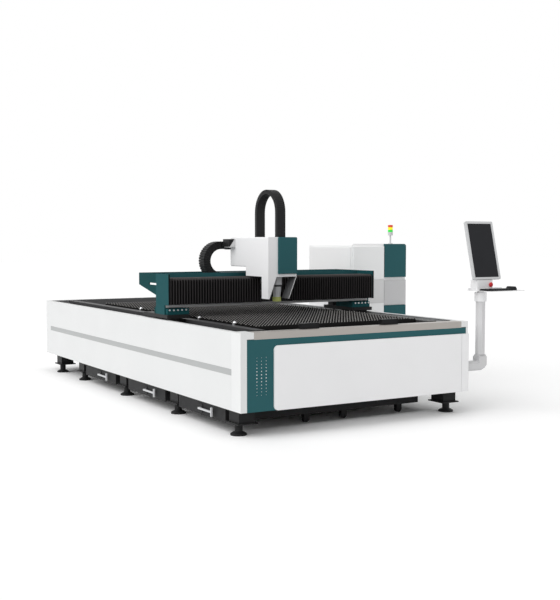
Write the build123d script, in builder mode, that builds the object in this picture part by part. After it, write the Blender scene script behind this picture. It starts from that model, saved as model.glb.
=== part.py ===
"""Open-bed fiber laser cutting machine: bed, gantry, head, slag drawers, cabinet and console.

Millimetres. +X runs across the bed, +Y along it to the rear, +Z up. The origin is on the floor
under the middle of the bed, and the short front end of the bed faces -Y.
"""
import os
from math import atan2, cos, degrees, radians, sin

from build123d import *

# Bed and its sheet-metal skin
BED_LENGTH = 4700.0
BED_WIDTH = 2200.0
BED_TOP = 795.0
SKIRT_BOTTOM = 197.0
SHEET = 4.0
PANEL_LIP = 40.0
STRIPE_BOTTOM = 465.0
STRIPE_HEIGHT = 47.0
STRIPE_DEPTH = 1.2
STRIPE_END_GAP = 10.0
POST_DEPTH = 147.0
POST_WIDTH = 53.0
POST_BLOCK_WIDTH = 113.0
RIGHT_POST_WIDTH = 22.0
RIGHT_BLOCK_WIDTH = 72.0
POST_BLOCK_HEIGHT = 50.0
STRIP_TOP_DEPTH = 96.0
FRONT_PANEL_TOP = 741.0
FRONT_COVER_INSET = 283.0
FRONT_COVER_HEIGHT = 493.0
FRONT_COVER_THICK = 14.0
FRONT_COVER_CORNER = 34.0
FRONT_SEAM_INSET = 80.0
SEAM_WIDTH = 4.0
VENT_INSET = 138.0
VENT_BOTTOM = 321.0
VENT_PITCH_X = 40.0
VENT_PITCH_Z = 25.7
VENT_COLUMNS = 3
VENT_ROWS = 12
VENT_RADIUS = 6.0
VENT_FADE_SHARE = 0.55

# Welded bed tubes
TUBE_WIDTH = 296.0
TUBE_BOTTOM = 330.0
TUBE_TOP = 725.0
TUBE_WALL = 10.0
CROSS_DEPTH = 100.0
DECK_START_SHARE = 0.76915
DECK_REAR_GAP = 50.0
RACK_WIDTH = 18.0
RACK_HEIGHT = 25.0
RACK_INSET = 92.0
RUN_END_GAP = 160.0

# Rails and their covers
RAIL_WIDTH = 30.0
RAIL_HEIGHT = 30.0
RAIL_INSET = 100.0
COVER_WIDTH = 85.0
COVER_SHEET = 3.0

# Cutting table
COMB_WIDTH = 30.0
COMB_TOP = 772.0
COMB_HEIGHT = 120.0
SLAT_COUNT = 41
SLAT_THICK = 4.0
SLAT_TIP = 815.0
SLAT_HEIGHT = 112.0
SLAT_FIRST = 330.0
SLAT_END_GAP = 2.0
SLAT_LAST_GAP = 8.0
TOOTH_COUNT = 12
TOOTH_DEPTH = 24.0
SLOT_PLAY = 0.6
BALL_RADIUS = 15.0
BALL_CUP_RADIUS = 21.0
BALL_CUP_HEIGHT = 14.0
BALL_SLATS = (4, 12, 28)
FRONT_STOP_LENGTH = 160.0
FRONT_STOP_DEPTH = 46.0
FRONT_STOP_HEIGHT = 45.0
FRONT_STOP_PLACE_SHARES = (0.291, 0.6416)

# Feet
FOOT_PLACE_SHARES = (0.03915, 0.27128, 0.52021, 0.77319, 0.93149)
FOOT_INSET = 80.0
PAD_RADIUS = 64.0
PAD_HEIGHT = 26.0
PAD_TOP_RADIUS = 42.0
STEM_RADIUS = 31.0
BRACKET_BASE = 90.0
BRACKET_FLANGE = 10.0
BRACKET_WIDTH = 160.0
BRACKET_DEPTH = 156.0
BRACKET_WALL = 8.0
BRACKET_SHOULDER = 20.0

# Slag drawers on casters
DRAWER_WIDTH_SHARE = 0.18085
DRAWER_FRONT_INSET = 30.0
DRAWER_BACK_INSET = 290.0
DRAWER_BOTTOM = 80.0
DRAWER_SHEET = 5.0
DRAWER_RIM = 18.0
WHEEL_RADIUS = 30.0
WHEEL_WIDTH = 28.0
OUTER_WHEEL_INSET = 773.0
FIXED_WHEEL_INSET = 1141.0
INNER_WHEEL_INSET = 163.0
WHEEL_INSET = 73.0
AXLE_RADIUS = 6.0
FORK_SHEET = 5.0
FORK_GAP = 1.5
FORK_WIDTH = 52.0
HANDLE_BAR = 14.0
HANDLE_REACH = 28.0
HANDLE_RUN = 220.0
HANDLE_GRIP = 72.0
HANDLE_HEIGHT = 132.0
HANDLE_PLATE = 70.0
RUNNING_GAP = 0.3

# Gantry. GANTRY_FRONT is its distance from the bed's front face, and its other places are behind that
GANTRY_FRONT = 1330.0
BEAM_FRONT = 90.0
BEAM_DEPTH = 180.0
BEAM_BOTTOM = 900.0
BEAM_HEIGHT = 200.0
BEAM_WALL = 8.0
LEG_INSET = 20.0
LEG_THICK = 12.0
LEG_TOP = 1190.0
LEG_NECK_FRONT = 87.0
LEG_NECK_TOP = 925.0
WING_REAR = 650.0
WING_BOTTOM = 1083.0
WING_ROOT = 1003.0
WING_SLOT_LENGTH = 165.0
WING_SLOT_HEIGHT = 18.0
WING_SLOT_DROP = 92.0
WING_SLOT_PLACE = 342.0
TRAY_BOTTOM = 1112.0
BASE_INNER_INSET = 235.0
FOOT_TOP = 892.0
FOOT_FRONT = 50.0
FOOT_REAR_INSET = 220.0
BASE_BOTTOM = 808.0
BASE_TOP = 840.0
BASE_FRONT = 30.0
BASE_LENGTH = 520.0
SLIDER_REAR_INSET = 165.0
SLIDER_LENGTH = 110.0
SLIDER_WIDTH = 70.0
SLIDER_CLEAR = 10.0
TRAY_SHEET = 3.0
X_RAIL_WIDTH = 25.0
X_RAIL_DEPTH = 25.0
X_RAIL_LOW = 957.0
X_RAIL_HIGH = 1063.0
X_RACK_WIDTH = 22.0
X_RACK_HEIGHT = 22.0
PINION_RADIUS = 28.0
PINION_WIDTH = 22.0
SHAFT_RADIUS = 12.0
MOTOR_REAR_INSET = 80.0
GEARBOX_SIZE = 90.0
GEARBOX_HEIGHT = 60.0
MOTOR_SIZE = 80.0
MOTOR_HEIGHT = 150.0
MOTOR_CORNER = 9.0

# Bellows over the front rails
BELLOWS_TOP = 1157.0
BELLOWS_BOTTOM = 927.0
BELLOWS_LIP_REAR = 220.0
BELLOWS_FOOT_REAR = 60.0
BELLOWS_SHEET = 5.0
BELLOWS_ROUND = 26.0
FOLD_DEPTH = 16.0
FOLD_PITCH = 37.0

# Carriage and its covers
CARRIAGE_LEFT = -286.0
CARRIAGE_RIGHT = 0.0
PLATE_FRONT = -12.0
PLATE_THICK = 25.0
PLATE_BOTTOM = 932.0
PLATE_TOP = 1274.0
PLATE_WIDTH = 160.0
SHELF_THICK = 28.0
SHELF_REAR = 330.0
Z_WALL_FRONT = -130.0
Z_WALL_THICK = 25.0
Z_WALL_WIDTH = 154.0
Z_WALL_TOP = 1480.0
X_BLOCK_LENGTH = 68.0
X_BLOCK_HEIGHT = 52.0
COVER_FRONT = -330.0
COVER_REAR = 378.0
COVER_TOP = 1510.0
COVER_REAR_BOTTOM = 1242.0
COVER_STEP = 74.0
COVER_BOTTOM = 1164.0
COVER_ROUND = 22.0
CHEEK_REAR = -212.0
CHEEK_BOTTOM = 971.0
CHEEK_TAPER = 76.0
CHEEK_SHEET = 6.0
MOUTH_LEFT = -204.0
MOUTH_SPREAD = 70.0
TEAL_LEFT = -190.0
TEAL_BOTTOM = 1189.0
TEAL_THICK = 16.0
TEAL_ROUND = 12.0
CHAIN_TAB_WIDTH = 90.0
CHAIN_TAB_SHEET = 6.0

# Cutting head
HEAD_X = -143.0
HEAD_Y = -232.0
HEAD_SIZE = 76.0
HEAD_NECK = 60.0
HEAD_BOTTOM = 985.0
HEAD_NECK_TOP = 1075.0
HEAD_TOP = 1400.0
HEAD_CORNER = 14.0
Z_PLATE_WIDTH = 114.0
Z_PLATE_TOP = 1430.0
CHAIN_SEAT = 20.0
RING_RADIUS = 38.0
RING_BOTTOM = 945.0
NOZZLE_RADIUS = 17.0
NOZZLE_TIP = 922.0
NOZZLE_TIP_RADIUS = 5.0

# Energy chains
CHAIN_WIDTH = 85.0
CHAIN_THICK = 40.0
CHAIN_CORE = 30.0
CHAIN_FRONT_Y = -290.0
CHAIN_REAR_Y = 70.0
CHAIN_TOP = 1930.0
CHAIN_LINK = 62.0
CHAIN_LINK_GAP = 9.0
X_CHAIN_THICK = 70.0
X_CHAIN_CORE = 58.0
X_CHAIN_WIDTH = 110.0
X_CHAIN_Y = 460.0
X_CHAIN_TOP = 1437.0
X_CHAIN_BEND = -366.0
X_CHAIN_END = 130.0
X_CHAIN_START = -276.0
X_CHAIN_LINK = 75.0

# Laser and electrics cabinet
CABINET_GAP = 100.0
CABINET_WIDTH = 680.0
CABINET_FRONT = 1870.0
CABINET_DEPTH = 810.0
CABINET_TOP = 1447.0
CABINET_WALL = 12.0
CABINET_ROUND = 26.0
PLINTH = 70.0
PLINTH_INSET = 30.0
DOOR_WIDTH_SHARE = 0.58824
DOOR_THICK = 20.0
DOOR_MARGIN = 6.0
DOOR_SEAMS = (835.0, 1080.0)
BAND_TOP = 1100.0
BAND_STRIP = 30.0
GREY_BOTTOM = 810.0
SIDE_PANEL_PROUD = 6.0
SIDE_PANEL_INSET = 24.0
SIDE_PANEL_DROP = 36.0
FASCIA_GAP = 3.0
DUCT_WIDTH = 200.0
DUCT_HEIGHT = 150.0
DUCT_BOTTOM = 300.0
TOWER_SIDE_INSET = 135.0
TOWER_FRONT_INSET = 80.0
TOWER_STEM = 9.0
TOWER_FOOT_RADIUS = 24.0
TOWER_FOOT_HEIGHT = 8.0
TOWER_BASE_BOTTOM = 1535.0
TOWER_BASE_HEIGHT = 35.0
TOWER_RADIUS = 26.0
LENS_HEIGHT = 25.0
LENS_COUNT = 3
TOWER_CAP = 6.0

# Operator console. Its places across the bed are from the post's middle
POST_REACH = 221.0
POST_Y = 90.0
ARM_Z = 394.0
ARM_RADIUS = 42.0
ARM_FLANGE = 58.0
ARM_FLANGE_THICK = 10.0
ELBOW_CUT = 46.0
ELBOW_TOP = 490.0
POST_SIZE = 80.0
POST_TOP = 952.0
COLLAR_SIZE = 103.0
COLLAR_TOP = 1031.0
COLLAR_RIB = 8.0
COLLAR_RIB_RUN = 16.0
NECK_RADIUS = 32.0
SHELF_TOP = 1052.0
SHELF_SHEET = 5.0
SHELF_LEFT = -122.0
SHELF_RIGHT = 294.0
SHELF_FRONT = -150.0
SHELF_BACK = 130.0
SHELF_LIP = 14.0
BOX_LEFT = -118.0
BOX_RIGHT = 62.0
BOX_FRONT = 6.0
BOX_BACK = 92.0
KEYBOARD_LENGTH = 288.0
KEYBOARD_DEPTH = 112.0
KEYBOARD_HEIGHT = 16.0
KEYBOARD_LEFT = -118.0
KEYBOARD_FRONT = -138.0
KEY_HEIGHT = 4.0
KEY_COLUMNS = 12
KEY_ROWS = 4
KEY_GAP = 4.0
MOUSE_LENGTH = 108.0
MOUSE_WIDTH = 62.0
MOUSE_HEIGHT = 32.0
MOUSE_X = 206.0
MOUSE_Y = -70.0
MONITOR_WIDTH = 310.0
MONITOR_HEIGHT = 514.0
MONITOR_DEPTH = 22.0
MONITOR_TILT = 13.6
MONITOR_X = -2.0
MONITOR_Y = 2.0
MONITOR_BOTTOM = 1146.0
MONITOR_ROUND = 12.0
BEZEL = 20.0
SCREEN_RECESS = 4.0
SCREEN_THICK = 3.0
VESA_SIZE = 150.0
VESA_THICK = 26.0
ESTOP_X = 33.0
ESTOP_Z = 1100.0
ESTOP_RADIUS = 20.0
ESTOP_HEAD = 14.0
ESTOP_NECK_RADIUS = 12.0
ESTOP_TRAVEL = 6.0

# Overrun of a cutter past the face that it breaks through
OVERRUN = 20.0

os.makedirs("parts", exist_ok=True)

# Places that several pieces share
front_y = -BED_LENGTH / 2
rear_y = BED_LENGTH / 2
half_width = BED_WIDTH / 2
skin_x = half_width - SHEET
tube_inner_x = skin_x - TUBE_WIDTH
tube_length = BED_LENGTH - 2 * SHEET
run_length = BED_LENGTH - 2 * RUN_END_GAP
rack_outer_x = tube_inner_x + RACK_INSET + RACK_WIDTH
pinion_x = rack_outer_x + PINION_RADIUS + RUNNING_GAP
rail_x = half_width - RAIL_INSET
foot_x = half_width - FOOT_INSET
leg_outer_x = half_width - LEG_INSET
leg_inner_x = leg_outer_x - LEG_THICK
base_inner_x = half_width - BASE_INNER_INSET
base_rear = BASE_FRONT + BASE_LENGTH
foot_rear = base_rear - FOOT_REAR_INSET
motor_y = base_rear - MOTOR_REAR_INSET
beam_rear = BEAM_FRONT + BEAM_DEPTH
beam_top = BEAM_BOTTOM + BEAM_HEIGHT
plate_rear = PLATE_FRONT + PLATE_THICK
shell_left = CARRIAGE_LEFT + SHEET
shell_right = CARRIAGE_RIGHT - SHEET
plate_left = shell_right - PLATE_WIDTH
deck_y = front_y + DECK_START_SHARE * BED_LENGTH
drawer_top = SKIRT_BOTTOM - RUNNING_GAP
drawer_front = -half_width + DRAWER_FRONT_INSET
drawer_back = half_width - DRAWER_BACK_INSET
drawer_width = DRAWER_WIDTH_SHARE * BED_LENGTH
wheel_places = (drawer_front + OUTER_WHEEL_INSET, drawer_back - INNER_WHEEL_INSET)
fixed_wheel_x = drawer_front + FIXED_WHEEL_INSET
cabinet_left = half_width + CABINET_GAP
cabinet_right = cabinet_left + CABINET_WIDTH
cabinet_rear = CABINET_FRONT + CABINET_DEPTH
door_right = cabinet_left + DOOR_WIDTH_SHARE * CABINET_WIDTH
tower_x = cabinet_right - TOWER_SIDE_INSET
tower_y = CABINET_FRONT + TOWER_FRONT_INSET
post_x = half_width + POST_REACH
post_y = front_y + POST_Y
shelf_width = SHELF_RIGHT - SHELF_LEFT
shelf_depth = SHELF_BACK - SHELF_FRONT
foot_places = [share * BED_LENGTH for share in FOOT_PLACE_SHARES]


def bed_y(distance):
    """Place along the bed of a point at this distance behind the bed's front face."""
    return front_y + distance


def console_x(distance):
    """Place across the bed of a point at this distance to the right of the console post."""
    return post_x + distance


def gantry_y(distance):
    """Place along the bed of a point at this distance behind the gantry's front face."""
    return bed_y(GANTRY_FRONT + distance)


def block(x_span, y_span, z_span, mode=Mode.ADD):
    """Box between two opposite corners, each span given as (low, high)."""
    spans = (x_span, y_span, z_span)
    centre = tuple(sum(span) / 2 for span in spans)
    lengths = [high - low for low, high in spans]
    with Locations(centre):
        Box(*lengths, mode=mode)


def mirrored(side, low, high):
    """Span across the bed between two distances from the middle, on one side of it."""
    return tuple(sorted((side * low, side * high)))


def save(piece, name):
    """Label a finished piece and write it to its own file."""
    piece.label = name
    export_step(piece, f"parts/{name}.step")


def side_tube(side):
    """Long bed tube with the smooth rack bar along its top."""
    with BuildPart() as tube:
        with BuildSketch(Plane.XZ.offset(tube_length / 2)):
            with Locations((side * (tube_inner_x + TUBE_WIDTH / 2), (TUBE_BOTTOM + TUBE_TOP) / 2)):
                Rectangle(TUBE_WIDTH, TUBE_TOP - TUBE_BOTTOM)
                Rectangle(
                    TUBE_WIDTH - 2 * TUBE_WALL,
                    TUBE_TOP - TUBE_BOTTOM - 2 * TUBE_WALL,
                    mode=Mode.SUBTRACT,
                )
        extrude(amount=-tube_length)
        block(
            mirrored(side, rack_outer_x - RACK_WIDTH, rack_outer_x),
            (-run_length / 2, run_length / 2),
            (TUBE_TOP, TUBE_TOP + RACK_HEIGHT),
        )
    return tube.part


save(side_tube(-1), "left_tube")
save(side_tube(1), "right_tube")

# Cross tubes at the front, under the end of the slats and at the rear
with BuildPart() as cross_tubes:
    for start in (front_y + SHEET, deck_y, rear_y - SHEET - CROSS_DEPTH):
        with BuildSketch(Plane.YZ.offset(-tube_inner_x)):
            with Locations((start + CROSS_DEPTH / 2, (TUBE_BOTTOM + TUBE_TOP) / 2)):
                Rectangle(CROSS_DEPTH, TUBE_TOP - TUBE_BOTTOM)
                Rectangle(
                    CROSS_DEPTH - 2 * TUBE_WALL,
                    TUBE_TOP - TUBE_BOTTOM - 2 * TUBE_WALL,
                    mode=Mode.SUBTRACT,
                )
        extrude(amount=2 * tube_inner_x)
save(cross_tubes.part, "cross_tubes")


def side_panel(side):
    """Folded side skin with a lip along its top and bottom and a shallow pressed stripe."""
    start = front_y + POST_DEPTH
    length = rear_y - SHEET - start
    with BuildPart() as panel:
        with BuildSketch(Plane.XZ.offset(-start)):
            with BuildLine():
                Polyline(
                    (side * half_width, SKIRT_BOTTOM),
                    (side * half_width, BED_TOP),
                    (side * (half_width - PANEL_LIP), BED_TOP),
                    (side * (half_width - PANEL_LIP), BED_TOP - SHEET),
                    (side * skin_x, BED_TOP - SHEET),
                    (side * skin_x, SKIRT_BOTTOM + SHEET),
                    (side * (half_width - PANEL_LIP), SKIRT_BOTTOM + SHEET),
                    (side * (half_width - PANEL_LIP), SKIRT_BOTTOM),
                    close=True,
                )
            make_face()
        extrude(amount=-length)
        block(
            mirrored(side, half_width - STRIPE_DEPTH, half_width),
            (start + STRIPE_END_GAP, start + length - POST_DEPTH),
            (STRIPE_BOTTOM, STRIPE_BOTTOM + STRIPE_HEIGHT),
            mode=Mode.SUBTRACT,
        )
    return panel.part


save(side_panel(-1), "left_side_panel")
save(side_panel(1), "right_side_panel")

# Folded front corner posts, each with its capping block
with BuildPart() as corner_posts:
    for side, post_width, block_width in (
        (-1, POST_WIDTH, POST_BLOCK_WIDTH),
        (1, RIGHT_POST_WIDTH, RIGHT_BLOCK_WIDTH),
    ):
        with BuildSketch(Plane.XY.offset(SKIRT_BOTTOM)):
            with BuildLine():
                Polyline(
                    (side * half_width, front_y),
                    (side * half_width, front_y + POST_DEPTH),
                    (side * skin_x, front_y + POST_DEPTH),
                    (side * skin_x, front_y + SHEET),
                    (side * (half_width - post_width), front_y + SHEET),
                    (side * (half_width - post_width), front_y),
                    close=True,
                )
            make_face()
        extrude(amount=BED_TOP - SKIRT_BOTTOM)
        block(
            mirrored(side, half_width - block_width, skin_x),
            (front_y, front_y + POST_DEPTH),
            (BED_TOP - POST_BLOCK_HEIGHT, BED_TOP),
        )
save(corner_posts.part, "corner_posts")

# Front skin with its columns of vents, which grow towards the middle row
vent_middle_x = -half_width + VENT_INSET + (VENT_COLUMNS - 1) * VENT_PITCH_X / 2
with BuildPart() as front_panel:
    block(
        (-half_width + POST_WIDTH, half_width - RIGHT_POST_WIDTH),
        (front_y, front_y + SHEET),
        (SKIRT_BOTTOM, FRONT_PANEL_TOP),
    )
    with BuildSketch(Plane.XZ.offset(-front_y + OVERRUN)):
        for row in range(VENT_ROWS):
            reach_share = abs(2 * row / (VENT_ROWS - 1) - 1)
            with Locations((vent_middle_x, VENT_BOTTOM + row * VENT_PITCH_Z)):
                with GridLocations(VENT_PITCH_X, VENT_PITCH_Z, VENT_COLUMNS, 1):
                    RegularPolygon(VENT_RADIUS * (1 - VENT_FADE_SHARE * reach_share), 6)
    extrude(amount=-SHEET - 2 * OVERRUN, mode=Mode.SUBTRACT)
save(front_panel.part, "front_panel")

# Raised front cover with rounded left corners and a seam near its right end
cover_left = -half_width + FRONT_COVER_INSET
cover_length = half_width - cover_left
with BuildPart() as front_cover_skin:
    with BuildSketch(Plane.XZ.offset(-front_y)):
        with Locations((cover_left + cover_length / 2, SKIRT_BOTTOM + FRONT_COVER_HEIGHT / 2)):
            Rectangle(cover_length, FRONT_COVER_HEIGHT)
    extrude(amount=FRONT_COVER_THICK)
    fillet(
        front_cover_skin.edges().filter_by(Axis.Y).group_by(Axis.X)[0],
        radius=FRONT_COVER_CORNER,
    )
    block(
        (half_width - FRONT_SEAM_INSET, half_width - FRONT_SEAM_INSET + SEAM_WIDTH),
        (front_y - FRONT_COVER_THICK, front_y - FRONT_COVER_THICK + SEAM_WIDTH),
        (SKIRT_BOTTOM, SKIRT_BOTTOM + FRONT_COVER_HEIGHT),
        mode=Mode.SUBTRACT,
    )
save(front_cover_skin.part, "front_cover")

# Bright metal channel along the front top edge, with the two sheet stops that stand on it
strip_left = POST_BLOCK_WIDTH - half_width
strip_right = half_width - RIGHT_BLOCK_WIDTH
with BuildPart() as front_strip:
    with BuildSketch(Plane.YZ.offset(strip_left)):
        with BuildLine():
            Polyline(
                (front_y, FRONT_PANEL_TOP),
                (front_y, BED_TOP),
                (front_y + STRIP_TOP_DEPTH, BED_TOP),
                (front_y + STRIP_TOP_DEPTH, TUBE_TOP),
                (front_y + STRIP_TOP_DEPTH - SHEET, TUBE_TOP),
                (front_y + STRIP_TOP_DEPTH - SHEET, BED_TOP - SHEET),
                (front_y + SHEET, BED_TOP - SHEET),
                (front_y + SHEET, FRONT_PANEL_TOP),
                close=True,
            )
        make_face()
    extrude(amount=strip_right - strip_left)
    for share in FRONT_STOP_PLACE_SHARES:
        stop_x = share * BED_WIDTH - half_width
        block(
            (stop_x - FRONT_STOP_LENGTH / 2, stop_x + FRONT_STOP_LENGTH / 2),
            (front_y + STRIP_TOP_DEPTH - FRONT_STOP_DEPTH, front_y + STRIP_TOP_DEPTH),
            (BED_TOP, BED_TOP + FRONT_STOP_HEIGHT),
        )
save(front_strip.part, "front_strip")

# Rear skin with its top lip, cut back beside the side skins
with BuildPart() as rear_panel:
    with BuildSketch(Plane.YZ.offset(-half_width)):
        with BuildLine():
            Polyline(
                (rear_y, SKIRT_BOTTOM),
                (rear_y, BED_TOP),
                (rear_y - DECK_REAR_GAP, BED_TOP),
                (rear_y - DECK_REAR_GAP, BED_TOP - SHEET),
                (rear_y - SHEET, BED_TOP - SHEET),
                (rear_y - SHEET, SKIRT_BOTTOM),
                close=True,
            )
        make_face()
    extrude(amount=2 * half_width)
    for side in (-1, 1):
        block(
            mirrored(side, half_width - PANEL_LIP, half_width),
            (rear_y - DECK_REAR_GAP - OVERRUN, rear_y - SHEET),
            (SKIRT_BOTTOM, BED_TOP),
            mode=Mode.SUBTRACT,
        )
save(rear_panel.part, "rear_panel")

# Flat deck behind the slats, standing on two cross tubes
deck_rear = rear_y - DECK_REAR_GAP
with BuildPart() as rear_deck:
    with BuildSketch(Plane.YZ.offset(-tube_inner_x)):
        with BuildLine():
            Polyline(
                (deck_y, TUBE_TOP),
                (deck_y, BED_TOP),
                (deck_rear, BED_TOP),
                (deck_rear, TUBE_TOP),
                (deck_rear - SHEET, TUBE_TOP),
                (deck_rear - SHEET, BED_TOP - SHEET),
                (deck_y + SHEET, BED_TOP - SHEET),
                (deck_y + SHEET, TUBE_TOP),
                close=True,
            )
        make_face()
    extrude(amount=2 * tube_inner_x)
save(rear_deck.part, "rear_deck")

# Dark folded covers beside the rails
cover_x = tube_inner_x + COVER_WIDTH / 2
with BuildPart() as rail_covers:
    for side in (-1, 1):
        with BuildSketch(Plane.XZ.offset(run_length / 2)):
            with Locations((side * cover_x, (TUBE_TOP + BED_TOP) / 2)):
                Rectangle(COVER_WIDTH, BED_TOP - TUBE_TOP)
            with Locations((side * cover_x, (TUBE_TOP + BED_TOP) / 2 - COVER_SHEET)):
                Rectangle(COVER_WIDTH - 2 * COVER_SHEET, BED_TOP - TUBE_TOP, mode=Mode.SUBTRACT)
        extrude(amount=-run_length)
save(rail_covers.part, "rail_covers")

with BuildPart() as y_rails:
    for side in (-1, 1):
        block(
            mirrored(side, rail_x - RAIL_WIDTH / 2, rail_x + RAIL_WIDTH / 2),
            (-run_length / 2, run_length / 2),
            (TUBE_TOP, TUBE_TOP + RAIL_HEIGHT),
        )
save(y_rails.part, "y_rails")

# Notched combs along both tubes, and the toothed slats that stand in them
slat_bottom = SLAT_TIP - SLAT_HEIGHT
slat_start = bed_y(SLAT_FIRST)
slat_pitch = (deck_y - SLAT_LAST_GAP - slat_start) / (SLAT_COUNT - 1)
slat_middle = slat_start + slat_pitch * (SLAT_COUNT - 1) / 2
comb_front = front_y + SHEET + CROSS_DEPTH
with BuildPart() as slat_combs:
    for side in (-1, 1):
        block(
            mirrored(side, tube_inner_x - COMB_WIDTH, tube_inner_x),
            (comb_front, deck_y),
            (COMB_TOP - COMB_HEIGHT, COMB_TOP),
        )
    with BuildSketch(Plane.XY.offset(COMB_TOP)):
        with Locations((0, slat_middle)):
            with GridLocations(2 * tube_inner_x - COMB_WIDTH, slat_pitch, 2, SLAT_COUNT):
                Rectangle(COMB_WIDTH, SLAT_THICK + SLOT_PLAY)
    extrude(amount=slat_bottom - COMB_TOP, mode=Mode.SUBTRACT)
save(slat_combs.part, "slat_combs")

slat_half = tube_inner_x - SLAT_END_GAP
tooth_pitch = 2 * slat_half / TOOTH_COUNT
tooth_tips = []
for tooth in range(TOOTH_COUNT):
    left = -slat_half + tooth * tooth_pitch
    tooth_tips.append((left, SLAT_TIP - TOOTH_DEPTH))
    tooth_tips.append((left + tooth_pitch / 2, SLAT_TIP))
with BuildPart() as slat:
    with BuildSketch(Plane.XZ.offset(SLAT_THICK / 2)):
        with BuildLine():
            Polyline(
                *tooth_tips,
                (slat_half, SLAT_TIP - TOOTH_DEPTH),
                (slat_half, slat_bottom),
                (-slat_half, slat_bottom),
                close=True,
            )
        make_face()
    extrude(amount=-SLAT_THICK)
slat_row = [Pos(0, slat_start + index * slat_pitch, 0) * slat.part for index in range(SLAT_COUNT)]
save(Compound(children=slat_row), "slats")

# Feed balls in their cups between slats, standing on the left comb
with BuildPart() as feed_ball:
    with BuildSketch(Plane.XZ):
        with BuildLine():
            Polyline(
                (0, COMB_TOP),
                (BALL_CUP_RADIUS, COMB_TOP),
                (BALL_CUP_RADIUS, BED_TOP + BALL_CUP_HEIGHT),
                (BALL_RADIUS, BED_TOP + BALL_CUP_HEIGHT),
            )
            RadiusArc(
                (BALL_RADIUS, BED_TOP + BALL_CUP_HEIGHT),
                (0, BED_TOP + BALL_CUP_HEIGHT + BALL_RADIUS),
                -BALL_RADIUS,
            )
            Line((0, BED_TOP + BALL_CUP_HEIGHT + BALL_RADIUS), (0, COMB_TOP))
        make_face()
    revolve(axis=Axis.Z)
ball_x = RUNNING_GAP + BALL_CUP_RADIUS - tube_inner_x
ball_units = [
    Pos(ball_x, slat_start + (index + 1 / 2) * slat_pitch, 0) * feed_ball.part
    for index in BALL_SLATS
]
save(Compound(children=ball_units), "feed_balls")

# Foot bracket: a hollow box leg on a flanged base, under both long tubes
leg_depth = BRACKET_DEPTH - BRACKET_SHOULDER
with BuildPart() as foot_bracket:
    with BuildSketch(Plane.XY.offset(BRACKET_BASE)):
        Rectangle(BRACKET_DEPTH + BRACKET_SHOULDER, BRACKET_WIDTH + 2 * BRACKET_SHOULDER)
    extrude(amount=BRACKET_FLANGE)
    with BuildSketch(Plane.XY.offset(BRACKET_BASE + BRACKET_FLANGE)):
        Rectangle(leg_depth, BRACKET_WIDTH)
        Rectangle(leg_depth - 2 * BRACKET_WALL, BRACKET_WIDTH - 2 * BRACKET_WALL, mode=Mode.SUBTRACT)
    extrude(amount=TUBE_BOTTOM - BRACKET_BASE - BRACKET_FLANGE)
bracket_x = half_width - PANEL_LIP - RUNNING_GAP - leg_depth / 2
brackets = [
    Pos(side * bracket_x, bed_y(place), 0) * foot_bracket.part
    for side in (-1, 1)
    for place in foot_places
]
save(Compound(children=brackets), "foot_brackets")

# Levelling foot: domed pad and stout stem in one turned outline
with BuildPart() as levelling_foot:
    with BuildSketch(Plane.XZ):
        with BuildLine():
            Polyline(
                (0, 0),
                (PAD_RADIUS, 0),
                (PAD_RADIUS, PAD_HEIGHT / 2),
                (PAD_TOP_RADIUS, PAD_HEIGHT),
                (STEM_RADIUS, PAD_HEIGHT),
                (STEM_RADIUS, BRACKET_BASE),
                (0, BRACKET_BASE),
                close=True,
            )
        make_face()
    revolve(axis=Axis.Z)
feet = [
    Pos(side * foot_x, bed_y(place), 0) * levelling_foot.part
    for side in (-1, 1)
    for place in foot_places
]
save(Compound(children=feet), "levelling_feet")


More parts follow.
